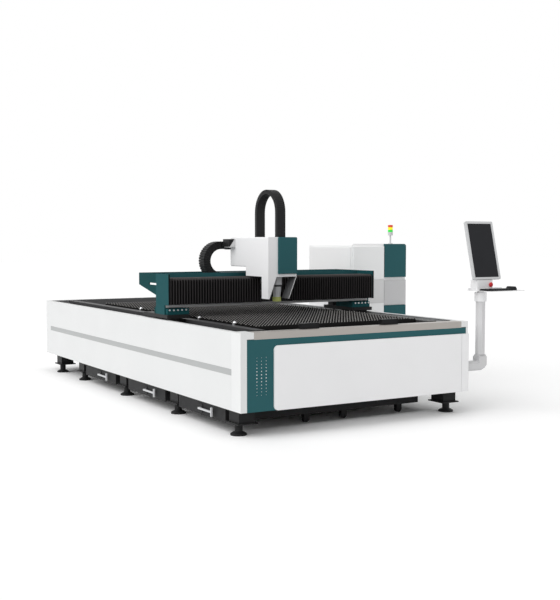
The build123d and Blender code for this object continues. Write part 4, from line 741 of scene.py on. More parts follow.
class Shape:
    """A mesh under construction, in metres, in the frame of the machine."""

    DOUBLES: float = 1e-6
    SHARP_RAD: float = 0.6
    SMOOTH_DEG: float = 35.0

    def __init__(self, name: str) -> None:
        """Starts an empty mesh."""
        self.name = name
        self.mesh = bmesh.new()

    def box(self, low: Point, high: Point) -> "Shape":
        """Adds a box.

        Args:
            low: Lowest corner.
            high: Highest corner.

        Returns:
            The same shape.
        """
        made = bmesh.ops.create_cube(self.mesh, size=1.0)["verts"]
        for corner in made:
            corner.co = [low[i] + (corner.co[i] + 0.5) * (high[i] - low[i]) for i in range(3)]
        return self

    def prism(self, outline: list[Place], axis: Axis, low: float, high: float) -> "Shape":
        """Adds a straight prism.

        Args:
            outline: Corners across the axis, along the two other axes in order.
            axis: Axis that the prism runs along.
            low: Where it starts.
            high: Where it ends.

        Returns:
            The same shape.
        """
        rings = []
        for along in (low, high):
            ring = []
            for first, second in outline:
                place = [first, second]
                place.insert(axis.value, along)
                ring.append(self.mesh.verts.new(place))
            rings.append(ring)
        return self.skin(rings, True)

    def skin(self, rings: list[list[bmesh.types.BMVert]], capped: bool) -> "Shape":
        """Joins closed rings of points with faces.

        Args:
            rings: Rings with the same number of points.
            capped: Whether the first and last rings are closed.

        Returns:
            The same shape.
        """
        faces = []
        size = len(rings[0])
        for near, far in zip(rings, rings[1:]):
            for i in range(size):
                j = (i + 1) % size
                faces.append(self.mesh.faces.new((near[i], near[j], far[j], far[i])))
        if capped:
            faces.append(self.mesh.faces.new(list(reversed(rings[0]))))
            faces.append(self.mesh.faces.new(rings[-1]))
        bmesh.ops.recalc_face_normals(self.mesh, faces=faces)
        return self

    def turned(self, profile: list[Place], centre: Point, axis: Axis, sides: int) -> "Shape":
        """Adds a turned form.

        Args:
            profile: Radius and place along the axis, from one end to the other.
            centre: Point on the axis from which places are counted.
            axis: The axis.
            sides: Points round each ring.

        Returns:
            The same shape.
        """
        others = [i for i in range(3) if i != axis.value]
        rings = []
        for radius, along in profile:
            ring = []
            for i in range(sides):
                angle = 2.0 * math.pi * i / sides
                place = list(centre)
                place[axis.value] += along
                place[others[0]] += radius * math.cos(angle)
                place[others[1]] += radius * math.sin(angle)
                ring.append(self.mesh.verts.new(place))
            rings.append(ring)
        return self.skin(rings, True)

    def soften(self, width: float, segments: int) -> "Shape":
        """Rounds every sharp edge.

        Args:
            width: How far a rounding reaches from the edge.
            segments: Faces across a rounding.

        Returns:
            The same shape.
        """
        bmesh.ops.remove_doubles(self.mesh, verts=self.mesh.verts, dist=self.DOUBLES)
        sharp = [edge for edge in self.mesh.edges
                 if edge.is_manifold and edge.calc_face_angle() > self.SHARP_RAD]
        bmesh.ops.bevel(self.mesh, geom=sharp, offset=width, segments=segments, profile=0.5,
                        affect="EDGES", clamp_overlap=True)
        return self

    def piece(self, finish: Finish, smooth_deg: float = SMOOTH_DEG) -> bpy.types.Object:
        """Ends the mesh and makes its object.

        Args:
            finish: Finish of the piece.
            smooth_deg: Corners flatter than this angle shade smoothly.

        Returns:
            The object, at the origin.
        """
        limit = math.radians(smooth_deg)
        for edge in self.mesh.edges:
            edge.smooth = not edge.is_manifold or edge.calc_face_angle() < limit
        for face in self.mesh.faces:
            face.smooth = True
        data = bpy.data.meshes.new(self.name)
        self.mesh.to_mesh(data)
        self.mesh.free()
        data.materials.append(finish.material())
        return placed(self.name, data)


class GeometryTree:
    """A Geometry Nodes tree with named inputs, run once and turned into a plain mesh."""

    def __init__(self, name: str) -> None:
        """Starts an empty tree with its input and output.

        Args:
            name: Name of the tree.
        """
        self.tree = bpy.data.node_groups.new(name, "GeometryNodeTree")
        for way in ("INPUT", "OUTPUT"):
            self.tree.interface.new_socket(
                "Geometry", in_out=way, socket_type="NodeSocketGeometry")
        self.start = self.tree.nodes.new("NodeGroupInput")
        self.end = self.tree.nodes.new("NodeGroupOutput")
        self.keys: dict[str, str] = {}
        self.finish = self.entry("Finish", "NodeSocketMaterial")

    def entry(self, name: str, kind: str) -> bpy.types.NodeSocket:
        """Adds a named input.

        Args:
            name: The input's name.
            kind: The socket's type name.

        Returns:
            The socket that gives its value inside the tree.
        """
        made = self.tree.interface.new_socket(name, in_out="INPUT", socket_type=kind)
        self.keys[name] = made.identifier
        return self.start.outputs[name]

    def length(self, name: str) -> bpy.types.NodeSocket:
        """Adds a named input for a size in metres."""
        return self.entry(name, "NodeSocketFloat")

    def count(self, name: str) -> bpy.types.NodeSocket:
        """Adds a named input for a whole number."""
        return self.entry(name, "NodeSocketInt")

    def node(self, kind: str, inputs: dict[object, object] | None = None,
             **settings: object) -> bpy.types.Node:
        """Adds a node and fills its inputs.

        Args:
            kind: The node's type name.
            inputs: Sockets or plain values, by input name or number.
            **settings: Properties of the node.

        Returns:
            The new node.
        """
        made = self.tree.nodes.new(kind)
        for key, value in settings.items():
            setattr(made, key, value)
        for key, value in (inputs or {}).items():
            if isinstance(value, bpy.types.NodeSocket):
                self.tree.links.new(value, made.inputs[key])
            else:
                made.inputs[key].default_value = value
        return made

    def close(self, shape: bpy.types.NodeSocket) -> None:
        """Ends the tree with real geometry in the finish that is given to it.

        Args:
            shape: The geometry so far.
        """
        real = self.node("GeometryNodeRealizeInstances", {"Geometry": shape})
        dressed = self.node(
            "GeometryNodeSetMaterial", {"Geometry": real.outputs[0], "Material": self.finish})
        self.tree.links.new(dressed.outputs[0], self.end.inputs[0])

    def run(self, name: str, finish: Finish, values: dict[str, object],
            base: bpy.types.Object) -> bpy.types.Object:
        """Runs the tree on an object and keeps the result as a plain mesh.

        Args:
            name: Name of the piece.
            finish: Finish of the piece.
            values: Values of the inputs, by name.
            base: Object whose geometry enters the tree, which is used up.

        Returns:
            The piece, with no modifier left.
        """
        modifier = base.modifiers.new("tree", "NODES")
        modifier.node_group = self.tree
        modifier[self.keys["Finish"]] = finish.material()
        for key, value in values.items():
            modifier[self.keys[key]] = value
        bpy.context.view_layer.update()
        graph = bpy.context.evaluated_depsgraph_get()
        mesh = bpy.data.meshes.new_from_object(base.evaluated_get(graph), depsgraph=graph)
        mesh.name = name
        base.modifiers.remove(modifier)
        bpy.data.objects.remove(base)
        return placed(name, mesh)


class CopyGrid(GeometryTree):
    """Copies of the shape that enters, in columns and rows."""

    def __init__(self, name: str) -> None:
        """Builds the tree.

        Args:
            name: Name of the tree.
        """
        super().__init__(name)
        columns = self.line(self.count("Columns"), self.entry("Column step", "NodeSocketVector"))
        rows = self.line(self.count("Rows"), self.entry("Row step", "NodeSocketVector"))
        shapes = self.copies(self.copies(columns, rows), self.start.outputs[0])
        merged = self.node(
            "GeometryNodeMergeByDistance", {"Geometry": shapes, "Distance": self.length("Merge")})
        self.close(merged.outputs[0])

    def copies(self, points: bpy.types.NodeSocket,
               shape: bpy.types.NodeSocket) -> bpy.types.NodeSocket:
        """Real copies of a shape, one at each point."""
        spread = self.node("GeometryNodeInstanceOnPoints", {"Points": points, "Instance": shape})
        return self.node("GeometryNodeRealizeInstances", {"Geometry": spread.outputs[0]}).outputs[0]

    def line(self, count: bpy.types.NodeSocket, step: bpy.types.NodeSocket) -> bpy.types.NodeSocket:
        """A straight row of points from the origin."""
        made = self.node("GeometryNodeMeshLine", {"Count": count, "Offset": step}, mode="OFFSET")
        return made.outputs[0]

    def lay(self, name: str, finish: Finish, base: bpy.types.Object, columns: tuple[int, Point],
            rows: tuple[int, Point] = (1, (0.0, 0.0, 0.0)), merge: float = 0.0) -> bpy.types.Object:
        """Runs the tree.

        Args:
            name: Name of the piece.
            finish: Finish of the piece.
            base: The shape to copy, which is used up.
            columns: Number of columns and the step between them.
            rows: Number of rows and the step between them.
            merge: Points nearer than this become one.

        Returns:
            The piece.
        """
        values = {"Columns": columns[0], "Column step": columns[1],
                  "Rows": rows[0], "Row step": rows[1], "Merge": merge}
        return self.run(name, finish, values, base)


class CopyPoints(GeometryTree):
    """Copies of a shape at each point of the mesh that enters."""

    def __init__(self, name: str) -> None:
        """Builds the tree.

        Args:
            name: Name of the tree.
        """
        super().__init__(name)
        model = self.entry("Shape", "NodeSocketObject")
        shape = self.node("GeometryNodeObjectInfo", {"Object": model})
        copies = self.node("GeometryNodeInstanceOnPoints", {
            "Points": self.start.outputs[0], "Instance": shape.outputs["Geometry"],
            "Rotation": self.entry("Turn", "NodeSocketVector")})
        self.close(copies.outputs[0])

    def lay(self, name: str, finish: Finish, shape: bpy.types.Object, points: list[Point],
            turn: Point) -> bpy.types.Object:
        """Runs the tree.

        Args:
            name: Name of the piece.
            finish: Finish of the piece.
            shape: The shape to copy, which is used up.
            points: Where the copies stand.
            turn: Turn of each copy about X, Y and Z, radians.

        Returns:
            The piece.
        """
        data = bpy.data.meshes.new(name + "_points")
        data.from_pydata(points, [], [])
        values = {"Shape": shape, "Turn": turn}
        made = self.run(name, finish, values, placed(name + "_points", data))
        bpy.data.objects.remove(shape)
        return made


class CopyPath(GeometryTree):
    """Copies of a shape along the open path that enters, turned to follow it."""

    def __init__(self, name: str, along: Axis, across: Axis) -> None:
        """Builds the tree.

        Args:
            name: Name of the tree.
            along: Axis of the shape that follows the path.
            across: Axis of the shape that keeps its direction.
        """
        super().__init__(name)
        model = self.entry("Shape", "NodeSocketObject")
        shape = self.node("GeometryNodeObjectInfo", {"Object": model})
        curve = self.node("GeometryNodeMeshToCurve", {"Mesh": self.start.outputs[0]})
        places = self.node(
            "GeometryNodeResampleCurve", {"Curve": curve.outputs[0], "Count": self.count("Count")})
        slope = self.node("GeometryNodeInputTangent")
        turn = self.node("FunctionNodeAlignEulerToVector", {"Vector": slope.outputs[0]},
                         axis=along.name, pivot_axis=across.name)
        copies = self.node("GeometryNodeInstanceOnPoints", {
            "Points": places.outputs[0], "Instance": shape.outputs["Geometry"],
            "Rotation": turn.outputs[0]})
        self.close(copies.outputs[0])

    def lay(self, name: str, finish: Finish, shape: bpy.types.Object, path: list[Point],
            count: int) -> bpy.types.Object:
        """Runs the tree.

        Args:
            name: Name of the piece.
            finish: Finish of the piece.
            shape: The shape to copy, which is used up.
            path: Points of the path.
            count: Number of copies.

        Returns:
            The piece.
        """
        data = bpy.data.meshes.new(name + "_path")
        data.from_pydata(path, [(i, i + 1) for i in range(len(path) - 1)], [])
        values = {"Shape": shape, "Count": count}
        made = self.run(name, finish, values, placed(name + "_path", data))
        bpy.data.objects.remove(shape)
        return made


@dataclass
class SubAssembly:
    """A group of CAD nodes with their finishes.

    Attributes:
        finishes: The finish of each CAD node, by node name.
    """

    finishes: dict[str, Finish] = field(default_factory=dict)

    def dress(self) -> None:
        """Gives each CAD node its finish."""
        for name, finish in self.finishes.items():
            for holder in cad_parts[name].material_slots:
                holder.material = finish.material()

    def build(self) -> None:
        """Adds the pieces that stand over the CAD nodes."""

    def keep(self, piece: bpy.types.Object, body: str, slot: str, *nodes: str) -> None:
        """Hangs a finished piece on the CAD body that it moves with, and files it."""
        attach(piece, body)
        self.file(piece, slot, *nodes)

    def file(self, piece: bpy.types.Object, slot: str, *nodes: str) -> None:
        """Hides the CAD nodes that a piece stands for, and logs its number of faces.

        Args:
            piece: The piece.
            slot: Not used.
            *nodes: CAD nodes that it stands for.
        """
        if nodes:
            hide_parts(*nodes)
        LOG.info("%s: %d faces", piece.name, len(piece.data.polygons))


@dataclass
class Bed(SubAssembly):
    """The welded bed with its skins, table and feet.

    Attributes:
        slat_count: Slats along the table.
        slat_thick: Thickness of a slat.
        tooth_count: Teeth along a slat.
        tooth_depth: Height of a tooth.
        tooth_shares: Foot, two corners of the tip and foot, as shares of a tooth's width.
        flat_deg: Corners of a slat flatter than this shade smoothly.
        vent_columns: Columns of vents.
        vent_rows: Vents in a column.
        vent_step: Steps between columns and between rows.
        vent_start: Middle of the first vent.
        vent_radius: Radius of the middle vents.
        vent_fade: Share by which the outer vents are smaller.
        vent_play: Share of a vent that its insert fills.
        insert_crown: Radius share and depth of an insert's face.
        insert_rim: Depth of the insert's rim.
        insert_sides: Corners of an insert.
        sheet: Thickness of the front skin.
    """

    finishes: dict[str, Finish] = field(default_factory=lambda: {
        "left_tube": Palette.frame_steel, "right_tube": Palette.frame_steel,
        "cross_tubes": Palette.frame_steel, "left_side_panel": Palette.side_white,
        "right_side_panel": Palette.side_white, "corner_posts": Palette.corner_white,
        "front_panel": Palette.teal, "front_cover": Palette.white,
        "front_strip": Palette.bed_steel, "rear_panel": Palette.white,
        "rear_deck": Palette.dark_grey, "rail_covers": Palette.rail_cover,
        "y_rails": Palette.rail_steel, "slat_combs": Palette.slat_steel,
        "slats": Palette.slat_steel, "feed_balls": Palette.chrome,
        "foot_brackets": Palette.black, "levelling_feet": Palette.black,
    })
    slat_count: int = 41
    slat_thick: float = 0.004
    tooth_count: int = 57
    tooth_depth: float = 0.016
    tooth_shares: tuple[float, ...] = (0.02, 0.42, 0.58, 0.98)
    flat_deg: float = 10.0
    vent_columns: int = 3
    vent_rows: int = 12
    vent_step: Place = (0.040, 0.0257)
    vent_start: Place = (-0.962, 0.321)
    vent_radius: float = 0.006
    vent_fade: float = 0.55
    vent_play: float = 0.97
    insert_crown: Place = (0.8, 0.0006)
    insert_rim: float = 0.0012
    insert_sides: int = 6
    sheet: float = 0.004

    def build(self) -> None:
        """Adds the toothed slats and the vents' pale inserts."""
        self.slats()
        self.vents()

    def slats(self) -> None:
        """A row of slats, each with a run of pointed teeth."""
        low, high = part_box("slats")
        pitch = (high.x - low.x) / self.tooth_count
        root = high.z - self.tooth_depth
        outline = [(low.x, low.z)]
        for tooth in range(self.tooth_count):
            left = low.x + tooth * pitch
            outline += [(left + share * pitch, height) for share, height in zip(
                self.tooth_shares, (root, high.z, high.z, root))]
        outline.append((high.x, low.z))
        shape = Shape("slat").prism(outline, Axis.Y, low.y, low.y + self.slat_thick)
        slat = shape.piece(Palette.slat_steel, self.flat_deg)
        step = (high.y - low.y - self.slat_thick) / (self.slat_count - 1)
        row = CopyGrid("slat_row").lay(
            "toothed_slats", Palette.slat_steel, slat, (self.slat_count, (0.0, step, 0.0)))
        self.keep(row, "machine", "slat_steel", "slats")

    def vents(self) -> None:
        """Pale plugs that fill the vents of the front skin."""
        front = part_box("front_panel")[0].y
        column = Shape("vent_column")
        for row in range(self.vent_rows):
            reach = abs(2.0 * row / (self.vent_rows - 1) - 1.0)
            radius = self.vent_radius * (1.0 - self.vent_fade * reach) * self.vent_play
            centre = (self.vent_start[0], front, self.vent_start[1] + row * self.vent_step[1])
            share, depth = self.insert_crown
            profile = [(radius, self.sheet), (radius, self.insert_rim), (share * radius, depth)]
            column.turned(profile, centre, Axis.Y, self.insert_sides)
        columns = (self.vent_columns, (self.vent_step[0], 0.0, 0.0))
        plugs = CopyGrid("vent_grid").lay(
            "vent_inserts", Palette.white, column.piece(Palette.white), columns)
        self.keep(plugs, "machine", "white_paint")


@dataclass
class SlagDrawers(SubAssembly):
    """The three slag drawers under the bed.

    Attributes:
        names: Names of the drawers, front to rear.
    """

    names: tuple[str, ...] = ("front", "middle", "rear")

    def __post_init__(self) -> None:
        """Lists the finishes of each drawer's nodes."""
        for name in self.names:
            self.finishes[f"{name}_slag_drawer"] = Palette.drawer_paint
            for place in ("outer", "inner"):
                self.finishes[f"{name}_drawer_{place}_wheels"] = Palette.rubber


@dataclass
class Chain:
    """Sizes of a closed energy chain.

    Attributes:
        width: Width across the links.
        thick: Thickness of the links.
        pitch: Length of a link.
        gap: Share of the pitch that is a groove between links.
        groove: Share of the thickness that a groove takes.
        overlap: Length of a link's core, as a share of the pitch.
        core_width: Width of the core, as a share of the link's.
        edge: Reach of the rounding along a link's edges.
    """

    width: float
    thick: float
    pitch: float
    gap: float = 0.12
    groove: float = 0.06
    overlap: float = 1.12
    core_width: float = 0.95
    edge: float = 0.0015

    def link(self, name: str, along: Axis, across: Axis) -> bpy.types.Object:
        """One closed link at the origin.

        Args:
            name: Name of the link.
            along: Axis that the chain runs along.
            across: Axis across its width.

        Returns:
            The link.
        """
        shape = Shape(name)
        through = next(axis for axis in Axis if axis not in (along, across))
        shell = (self.pitch * (1.0 - self.gap), self.width, self.thick)
        core = (self.pitch * self.overlap, self.width * self.core_width,
                self.thick * (1.0 - self.groove))
        for sizes in (shell, core):
            half = Vector()
            for axis, size in zip((along, across, through), sizes):
                half[axis.value] = size / 2.0
            shape.box(-half, half)
        return shape.soften(self.edge, 1).piece(Palette.chain)


@dataclass
class Gantry(SubAssembly):
    """The beam that runs along the bed, with its bellows and cable chain.

    Attributes:
        pleat: Width of a bellows pleat.
        pleat_profile: Places across a pleat and how deep the cloth lies there, as shares.
        pleat_deg: Corners of the cloth flatter than this shade smoothly.
        merge: Points of neighbouring pleats nearer than this become one.
        fold: Depth of a fold at the front.
        top_share: Share of that depth at the top.
        corner_radius: Radius of the bellows' front top corner.
        corner_steps: Faces round that corner.
        foot_rear: How far the lower lip reaches back from the front.
        cloth: Thickness of the bellows' cloth.
        flange: Thickness of the plates at the bellows' ends.
        chain: Sizes of the rolling chain.
        chain_y: Middle of the rolling chain along the bed.
        chain_top: Height of its upper run.
        chain_low: Height of its lower run.
        chain_bend: Where its bend's middle stands across the bed.
        chain_start: Where its upper run starts.
        chain_end: Where its lower run ends.
        far: Reach along the bed of the far points worked out for the bend, which nothing uses.
        screw_y: Where the feet's front faces stand along the bed.
        screw_z: Height of the feet's screws.
        screw_inset: How far the outer screws stand from a foot's ends.
        screw_count: Screws along a foot.
        screw_width: Width of a screw's head.
        screw_profile: Radius and height round a head, as shares of its radius and its width.
        screw_sides: Faces round a head.
    """

    finishes: dict[str, Finish] = field(default_factory=lambda: {
        "gantry_beam": Palette.beam_grey, "gantry_left_leg": Palette.wing_teal,
        "gantry_right_leg": Palette.wing_teal, "gantry_bases": Palette.black,
        "cable_tray": Palette.teal, "x_rails": Palette.bright_steel, "y_motors": Palette.black,
        "left_bellows": Palette.cloth, "right_bellows": Palette.cloth, "x_chain": Palette.chain,
        "y_pinion_left": Palette.bright_steel, "y_pinion_right": Palette.bright_steel,
    })
    pleat: float = 0.0256
    pleat_profile: tuple[Place, ...] = (
        (0.0, 1.0), (0.2, 0.9), (0.38, 0.16), (0.5, 0.0), (0.62, 0.16), (0.8, 0.9), (1.0, 1.0))
    pleat_deg: float = 50.0
    merge: float = 0.0002
    fold: float = 0.020
    top_share: float = 0.4
    corner_radius: float = 0.030
    corner_steps: int = 5
    foot_rear: float = 0.060
    cloth: float = 0.003
    flange: float = 0.004
    chain: Chain = field(default_factory=lambda: Chain(0.110, 0.070, 0.020))
    chain_y: float = -0.560
    chain_top: float = 1.437
    chain_low: float = 1.150
    chain_bend: float = -0.366
    chain_start: float = -0.186
    chain_end: float = 0.130
    far: float = 10.0
    screw_y: float = -0.970
    screw_z: float = 0.880
    screw_inset: float = 0.030
    screw_count: int = 5
    screw_width: float = 0.016
    screw_profile: tuple[Place, ...] = (
        (1.0, 0.0), (1.0, 0.62), (0.86, 0.7), (0.5, 0.7), (0.46, 0.4))
    screw_sides: int = 12

    def build(self) -> None:
        """Adds the bellows, the rolling chain and the screws of the feet."""
        self.bellows("left_bellows", End.LEFT, End.RIGHT)
        self.bellows("right_bellows", End.RIGHT, End.LEFT)
        self.rolling_chain()
        for side in ("left", "right"):
            self.foot_screws(side)

    def section(self, low: Vector, high: Vector, inset: float) -> list[Place]:
        """Outline of the bellows across its run.

        Args:
            low: Lowest corner of the bellows.
            high: Highest corner.
            inset: How far this place of a fold lies behind its crest.

        Returns:
            Points along Y and Z, round the cloth's outer face and back along its inner one.
        """
        outer, inner = [], []
        for skin, row in ((0.0, outer), (self.cloth, inner)):
            front, bottom = low.y + inset + skin, low.z + skin
            top = high.z - self.top_share * inset - skin
            row.append((high.y, top))
            radius = self.corner_radius
            for step in range(self.corner_steps + 1):
                angle = math.pi / 2.0 * step / self.corner_steps
                row.append((front + radius - radius * math.sin(angle),
                            top - radius + radius * math.cos(angle)))
            row.append((front, bottom))
            row.append((low.y + self.foot_rear, bottom))
        return outer + inner[::-1]

    def bellows(self, name: str, fixed: End, moving: End) -> None:
        """One pleated cover between a leg and the carriage, with its end plates.

        Args:
            name: The CAD node that it stands for.
            fixed: The end that the leg holds.
            moving: The end that the carriage holds.
        """
        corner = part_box(name)
        low, high = corner
        count = round((high.x - low.x) / self.pleat)
        pitch = (high.x - low.x) / count
        pleat = Shape(name + "_pleat")
        # The crest value of each point, 1 on a crest and 0 in a valley, drives the cloth's painted
        # highlight.
        crest = pleat.mesh.verts.layers.float.new(ClothFinish.CREST)
        rings = []
        for share, depth in self.pleat_profile:
            outline = self.section(low, high, depth * self.fold)
            rings.append([pleat.mesh.verts.new((low.x + share * pitch, y, z)) for y, z in outline])
            for point in rings[-1]:
                point[crest] = 1.0 - depth
        base = pleat.skin(rings, False).piece(Palette.cloth, self.pleat_deg)
        cover = CopyGrid(name + "_row").lay(
            "pleated_" + name, Palette.cloth, base, (count, (pitch, 0.0, 0.0)), merge=self.merge)
        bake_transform(cover)
        self.file(cover, "bellows_cloth", name)
        starts = {End.LEFT: low.x, End.RIGHT: high.x - self.flange}
        for end, body in ((moving, "carriage"), (fixed, "gantry")):
            start = starts[end]
            flange = Shape(f"{name}_{body}_flange").prism(
                self.section(low, high, 0.0), Axis.X, start, start + self.flange)
            self.keep(flange.piece(Palette.black_plastic), body, "black_plastic")

    def rolling_chain(self) -> None:
        """The chain from the carriage to the tray: a bend with its upper and lower runs."""
        radius = (self.chain_top - self.chain_low) / 2.0
        half = self.chain.pitch / 2.0
        y, turn = self.chain_y, self.chain_bend
        middle = self.chain_low + radius
        bend = [(turn + x, y, middle + z) for x, z in arc(radius, math.pi / 2.0, math.pi)]
        upper = [(self.chain_start - half, y, self.chain_top), (turn + half, y, self.chain_top)]
        lower = [(turn + half, y, self.chain_low), (self.chain_end - half, y, self.chain_low)]
        runs = (
            ("rolling_chain", bend, math.pi * radius,
             (turn, y - self.far, middle), (turn, y + self.far, middle)),
            ("rolling_chain_upper_run", upper, self.chain_start - turn,
             (2.0 * turn - self.chain_start, y, self.chain_top),
             (self.chain_start, y, self.chain_top)),
            ("rolling_chain_lower_run", lower, self.chain_end - turn,
             (self.chain_end, y, self.chain_low), (2.0 * turn - self.chain_end, y, self.chain_low)))
        for name, path, length, start, end in runs:
            link = self.chain.link(name + "_link", Axis.X, Axis.Y)
            piece = CopyPath(name + "_path", Axis.X, Axis.Y).lay(
                name, Palette.chain, link, path, round(length / self.chain.pitch))
            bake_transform(piece)
            self.file(piece, "chain_plastic", *(("x_chain",) if path is bend else ()))

    def foot_screws(self, side: str) -> None:
        """Socket screws along the front of a foot.

        Args:
            side: The foot's side of the bed, left or right.
        """
        low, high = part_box(f"gantry_{side}_leg")
        start = low.x + self.screw_inset
        step = (high.x - low.x - 2.0 * self.screw_inset) / (self.screw_count - 1)
        points = [(start + number * step, self.screw_y, self.screw_z)
                  for number in range(self.screw_count)]
        name = side + "_foot_screws"
        width = self.screw_width
        profile = [(radius * width / 2.0, height * width) for radius, height in self.screw_profile]
        head = Shape(name + "_head").turned(profile, (0.0, 0.0, 0.0), Axis.Z, self.screw_sides)
        forward = (math.pi / 2.0, 0.0, 0.0)
        piece = CopyPoints(name + "_tree").lay(
            name, Palette.bolt_steel, head.piece(Palette.bolt_steel), points, forward)
        self.keep(piece, "gantry", "bright_steel")


@dataclass
class CuttingCarriage(SubAssembly):
    """The carriage with its covers, chain and cutting head.

    Attributes:
        chain: Sizes of the looped chain.
        chain_x: Middle of the looped chain across the bed.
        chain_front: Where its front leg stands along the bed.
        chain_rear: Where its rear leg stands.
        chain_bend: Height of its bend's middle.
        chain_front_foot: Height where the front leg starts.
        chain_rear_foot: Height where the rear leg ends.
        bracket_low: Lowest corner of the bracket that holds the rolling chain's end.
        bracket_high: Highest corner of that bracket.
        bracket_sheet: Thickness of its sheet.
        bracket_edge: Reach of the rounding along its edges.
        gusset_top: Width of the gusset's upper end.
        block_reach: How far the end block stands out past the bracket, sideways and to the rear.
        block_edge: Reach of the rounding along the block's edges.
    """

    finishes: dict[str, Finish] = field(default_factory=lambda: {
        "carriage_plate": Palette.dark_grey, "carriage_cover": Palette.cover_white,
        "carriage_front_cover": Palette.teal, "z_chain": Palette.chain,
        "x_pinion": Palette.bright_steel, "cutting_head": Palette.head_white,
        "sensor_ring": Palette.ceramic,
    })
    chain: Chain = field(default_factory=lambda: Chain(0.085, 0.040, 0.018))
    chain_x: float = -0.143
    chain_front: float = -1.310
    chain_rear: float = -0.950
    chain_bend: float = 1.730
    chain_front_foot: float = 1.420
    chain_rear_foot: float = 1.510
    bracket_low: Point = (-0.346, -0.746, 1.418)
    bracket_high: Point = (-0.286, -0.640, 1.494)
    bracket_sheet: float = 0.005
    bracket_edge: float = 0.001
    gusset_top: float = 0.006
    block_reach: Place = (0.004, 0.022)
    block_edge: float = 0.004

    def build(self) -> None:
        """Adds the looped chain and the bracket of the rolling one."""
        self.looped_chain()
        self.chain_bracket()

    def chain_bracket(self) -> None:
        """A shelf with a gusset on the cover's side, and the black end block that stands on it."""
        low, high = Vector(self.bracket_low), Vector(self.bracket_high)
        sheet, (side, rear) = self.bracket_sheet, self.block_reach
        gusset = [(low.x, low.z), (high.x, low.z), (high.x, high.z),
                  (high.x - self.gusset_top, high.z)]
        bracket = Shape("chain_bracket").prism(gusset, Axis.Y, low.y, low.y + sheet)
        bracket.box((low.x, low.y + sheet, low.z), (high.x, high.y, low.z + sheet))
        bracket.soften(self.bracket_edge, 1)
        self.keep(bracket.piece(Palette.beam_grey), "carriage", "light_grey_paint")
        block = Shape("chain_end").box(
            (low.x - side, low.y + sheet, low.z + sheet), (high.x, high.y + rear, high.z))
        block.soften(self.block_edge, 2)
        self.keep(block.piece(Palette.chain), "carriage", "chain_plastic")

    def looped_chain(self) -> None:
        """The chain that stands over the head in a loop."""
        radius = (self.chain_rear - self.chain_front) / 2.0
        half = self.chain.pitch / 2.0
        middle = self.chain_front + radius
        path = [(self.chain_x, self.chain_front, self.chain_front_foot + half)]
        path += [(self.chain_x, middle + y, self.chain_bend + z)
                 for y, z in arc(radius, math.pi, -math.pi)]
        path.append((self.chain_x, self.chain_rear, self.chain_rear_foot + half))
        legs = 2.0 * self.chain_bend - self.chain_front_foot - self.chain_rear_foot
        length = math.pi * radius + legs
        link = self.chain.link("looped_link", Axis.Y, Axis.X)
        piece = CopyPath("looped_path", Axis.Y, Axis.X).lay(
            "looped_chain", Palette.chain, link, path, round(length / self.chain.pitch))
        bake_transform(piece)
        self.file(piece, "chain_plastic", "z_chain")


@dataclass
class Cabinet(SubAssembly):
    """The electrics cabinet and its signal tower.

    Attributes:
        louvre: Width, height and stand-out of one louvre of the rear wall.
        louvre_start: Left end and height of the first louvre.
        louvre_step: Steps between columns and between rows.
        louvre_count: Columns and rows.
        louvre_lip: Height of a louvre's outer edge.
        louvre_edge: Reach of the rounding along its edges.
    """

    finishes: dict[str, Finish] = field(default_factory=lambda: {
        "cabinet_body": Palette.cabinet_white, "cabinet_door": Palette.door_white,
        "cabinet_teal_fascia": Palette.teal, "cabinet_grey_fascia": Palette.light_grey,
        "signal_tower_stem": Palette.grey_plastic, "signal_tower_lenses": Palette.lamp,
    })
    louvre: Point = (0.150, 0.014, 0.008)
    louvre_start: Place = (1.300, 0.280)
    louvre_step: Place = (0.330, 0.028)
    louvre_count: tuple[int, int] = (2, 10)
    louvre_lip: float = 0.003
    louvre_edge: float = 0.0015

    def build(self) -> None:
        """Adds the rear louvres."""
        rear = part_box("cabinet_body")[1].y
        width, height, reach = self.louvre
        left, foot = self.louvre_start
        hood = [(rear, foot), (rear + reach, foot), (rear + reach, foot + self.louvre_lip),
                (rear, foot + height)]
        louvre = Shape("louvre").prism(hood, Axis.X, left, left + width).soften(self.louvre_edge, 1)
        columns = (self.louvre_count[0], (self.louvre_step[0], 0.0, 0.0))
        rows = (self.louvre_count[1], (0.0, 0.0, self.louvre_step[1]))
        piece = CopyGrid("louvre_grid").lay(
            "rear_louvres", Palette.white, louvre.piece(Palette.white), columns, rows)
        self.keep(piece, "machine", "white_paint")


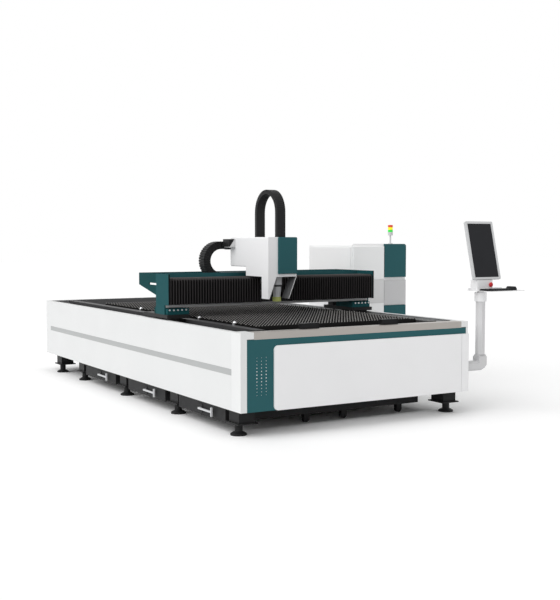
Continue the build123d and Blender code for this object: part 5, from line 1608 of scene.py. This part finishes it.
@dataclass
class Console(SubAssembly):
    """The operator console on its swivelling arm.

    Attributes:
        tilt_deg: How far the screen leans back.
        grille_width: Length of a rib of the screen's rear grille.
        grille_start: Height of the first rib up the screen's back.
        grille_step: Step between ribs.
        grille_ribs: Number of ribs.
        rib: Height and stand-out of a rib.
        rib_root: How far a rib reaches into the housing.
        screen_depth: Depth of the screen's housing.
    """

    finishes: dict[str, Finish] = field(default_factory=lambda: {
        "console_post": Palette.post_grey, "console_shelf": Palette.white,
        "control_box": Palette.white, "keyboard": Palette.black_plastic,
        "mouse": Palette.black_plastic, "monitor_housing": Palette.grey_plastic,
        "monitor_screen": Palette.screen, "emergency_stop": Palette.red_plastic,
    })
    tilt_deg: float = 13.6
    grille_width: float = 0.180
    grille_start: float = 0.280
    grille_step: float = 0.012
    grille_ribs: int = 14
    rib: Place = (0.005, 0.003)
    rib_root: float = 0.0005
    screen_depth: float = 0.022

    def build(self) -> None:
        """Adds the rear grille of the screen."""
        low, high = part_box("monitor_housing")
        lean = math.radians(self.tilt_deg)
        up = Vector((0.0, math.sin(lean), math.cos(lean)))
        out = Vector((0.0, math.cos(lean), -math.sin(lean)))
        foot = Vector((0.0, low.y, low.z + self.screen_depth * math.sin(lean)))
        corner = foot + self.screen_depth * out + self.grille_start * up
        tall, reach = self.rib
        root, tip = corner - self.rib_root * out, corner + reach * out
        outline = [(point.y, point.z) for point in (root, tip, tip + tall * up, root + tall * up)]
        middle, half = (low.x + high.x) / 2.0, self.grille_width / 2.0
        rib = Shape("grille_rib").prism(outline, Axis.X, middle - half, middle + half)
        rows = (self.grille_ribs, tuple(self.grille_step * up))
        ribs = CopyGrid("grille_grid").lay(
            "rear_grille", Palette.grey_plastic, rib.piece(Palette.grey_plastic), rows)
        self.keep(ribs, "console", "grey_plastic")


def main() -> None:
    """Builds the studio and dresses each sub-assembly in order."""
    logging.basicConfig(level=logging.INFO, format="%(name)s: %(message)s")
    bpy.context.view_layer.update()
    Studio().build()
    for group in (Bed(), SlagDrawers(), Gantry(), CuttingCarriage(), Cabinet(), Console()):
        group.dress()
        group.build()
        LOG.info("%s is dressed", type(group).__name__)


if __name__ == "__main__":
    main()
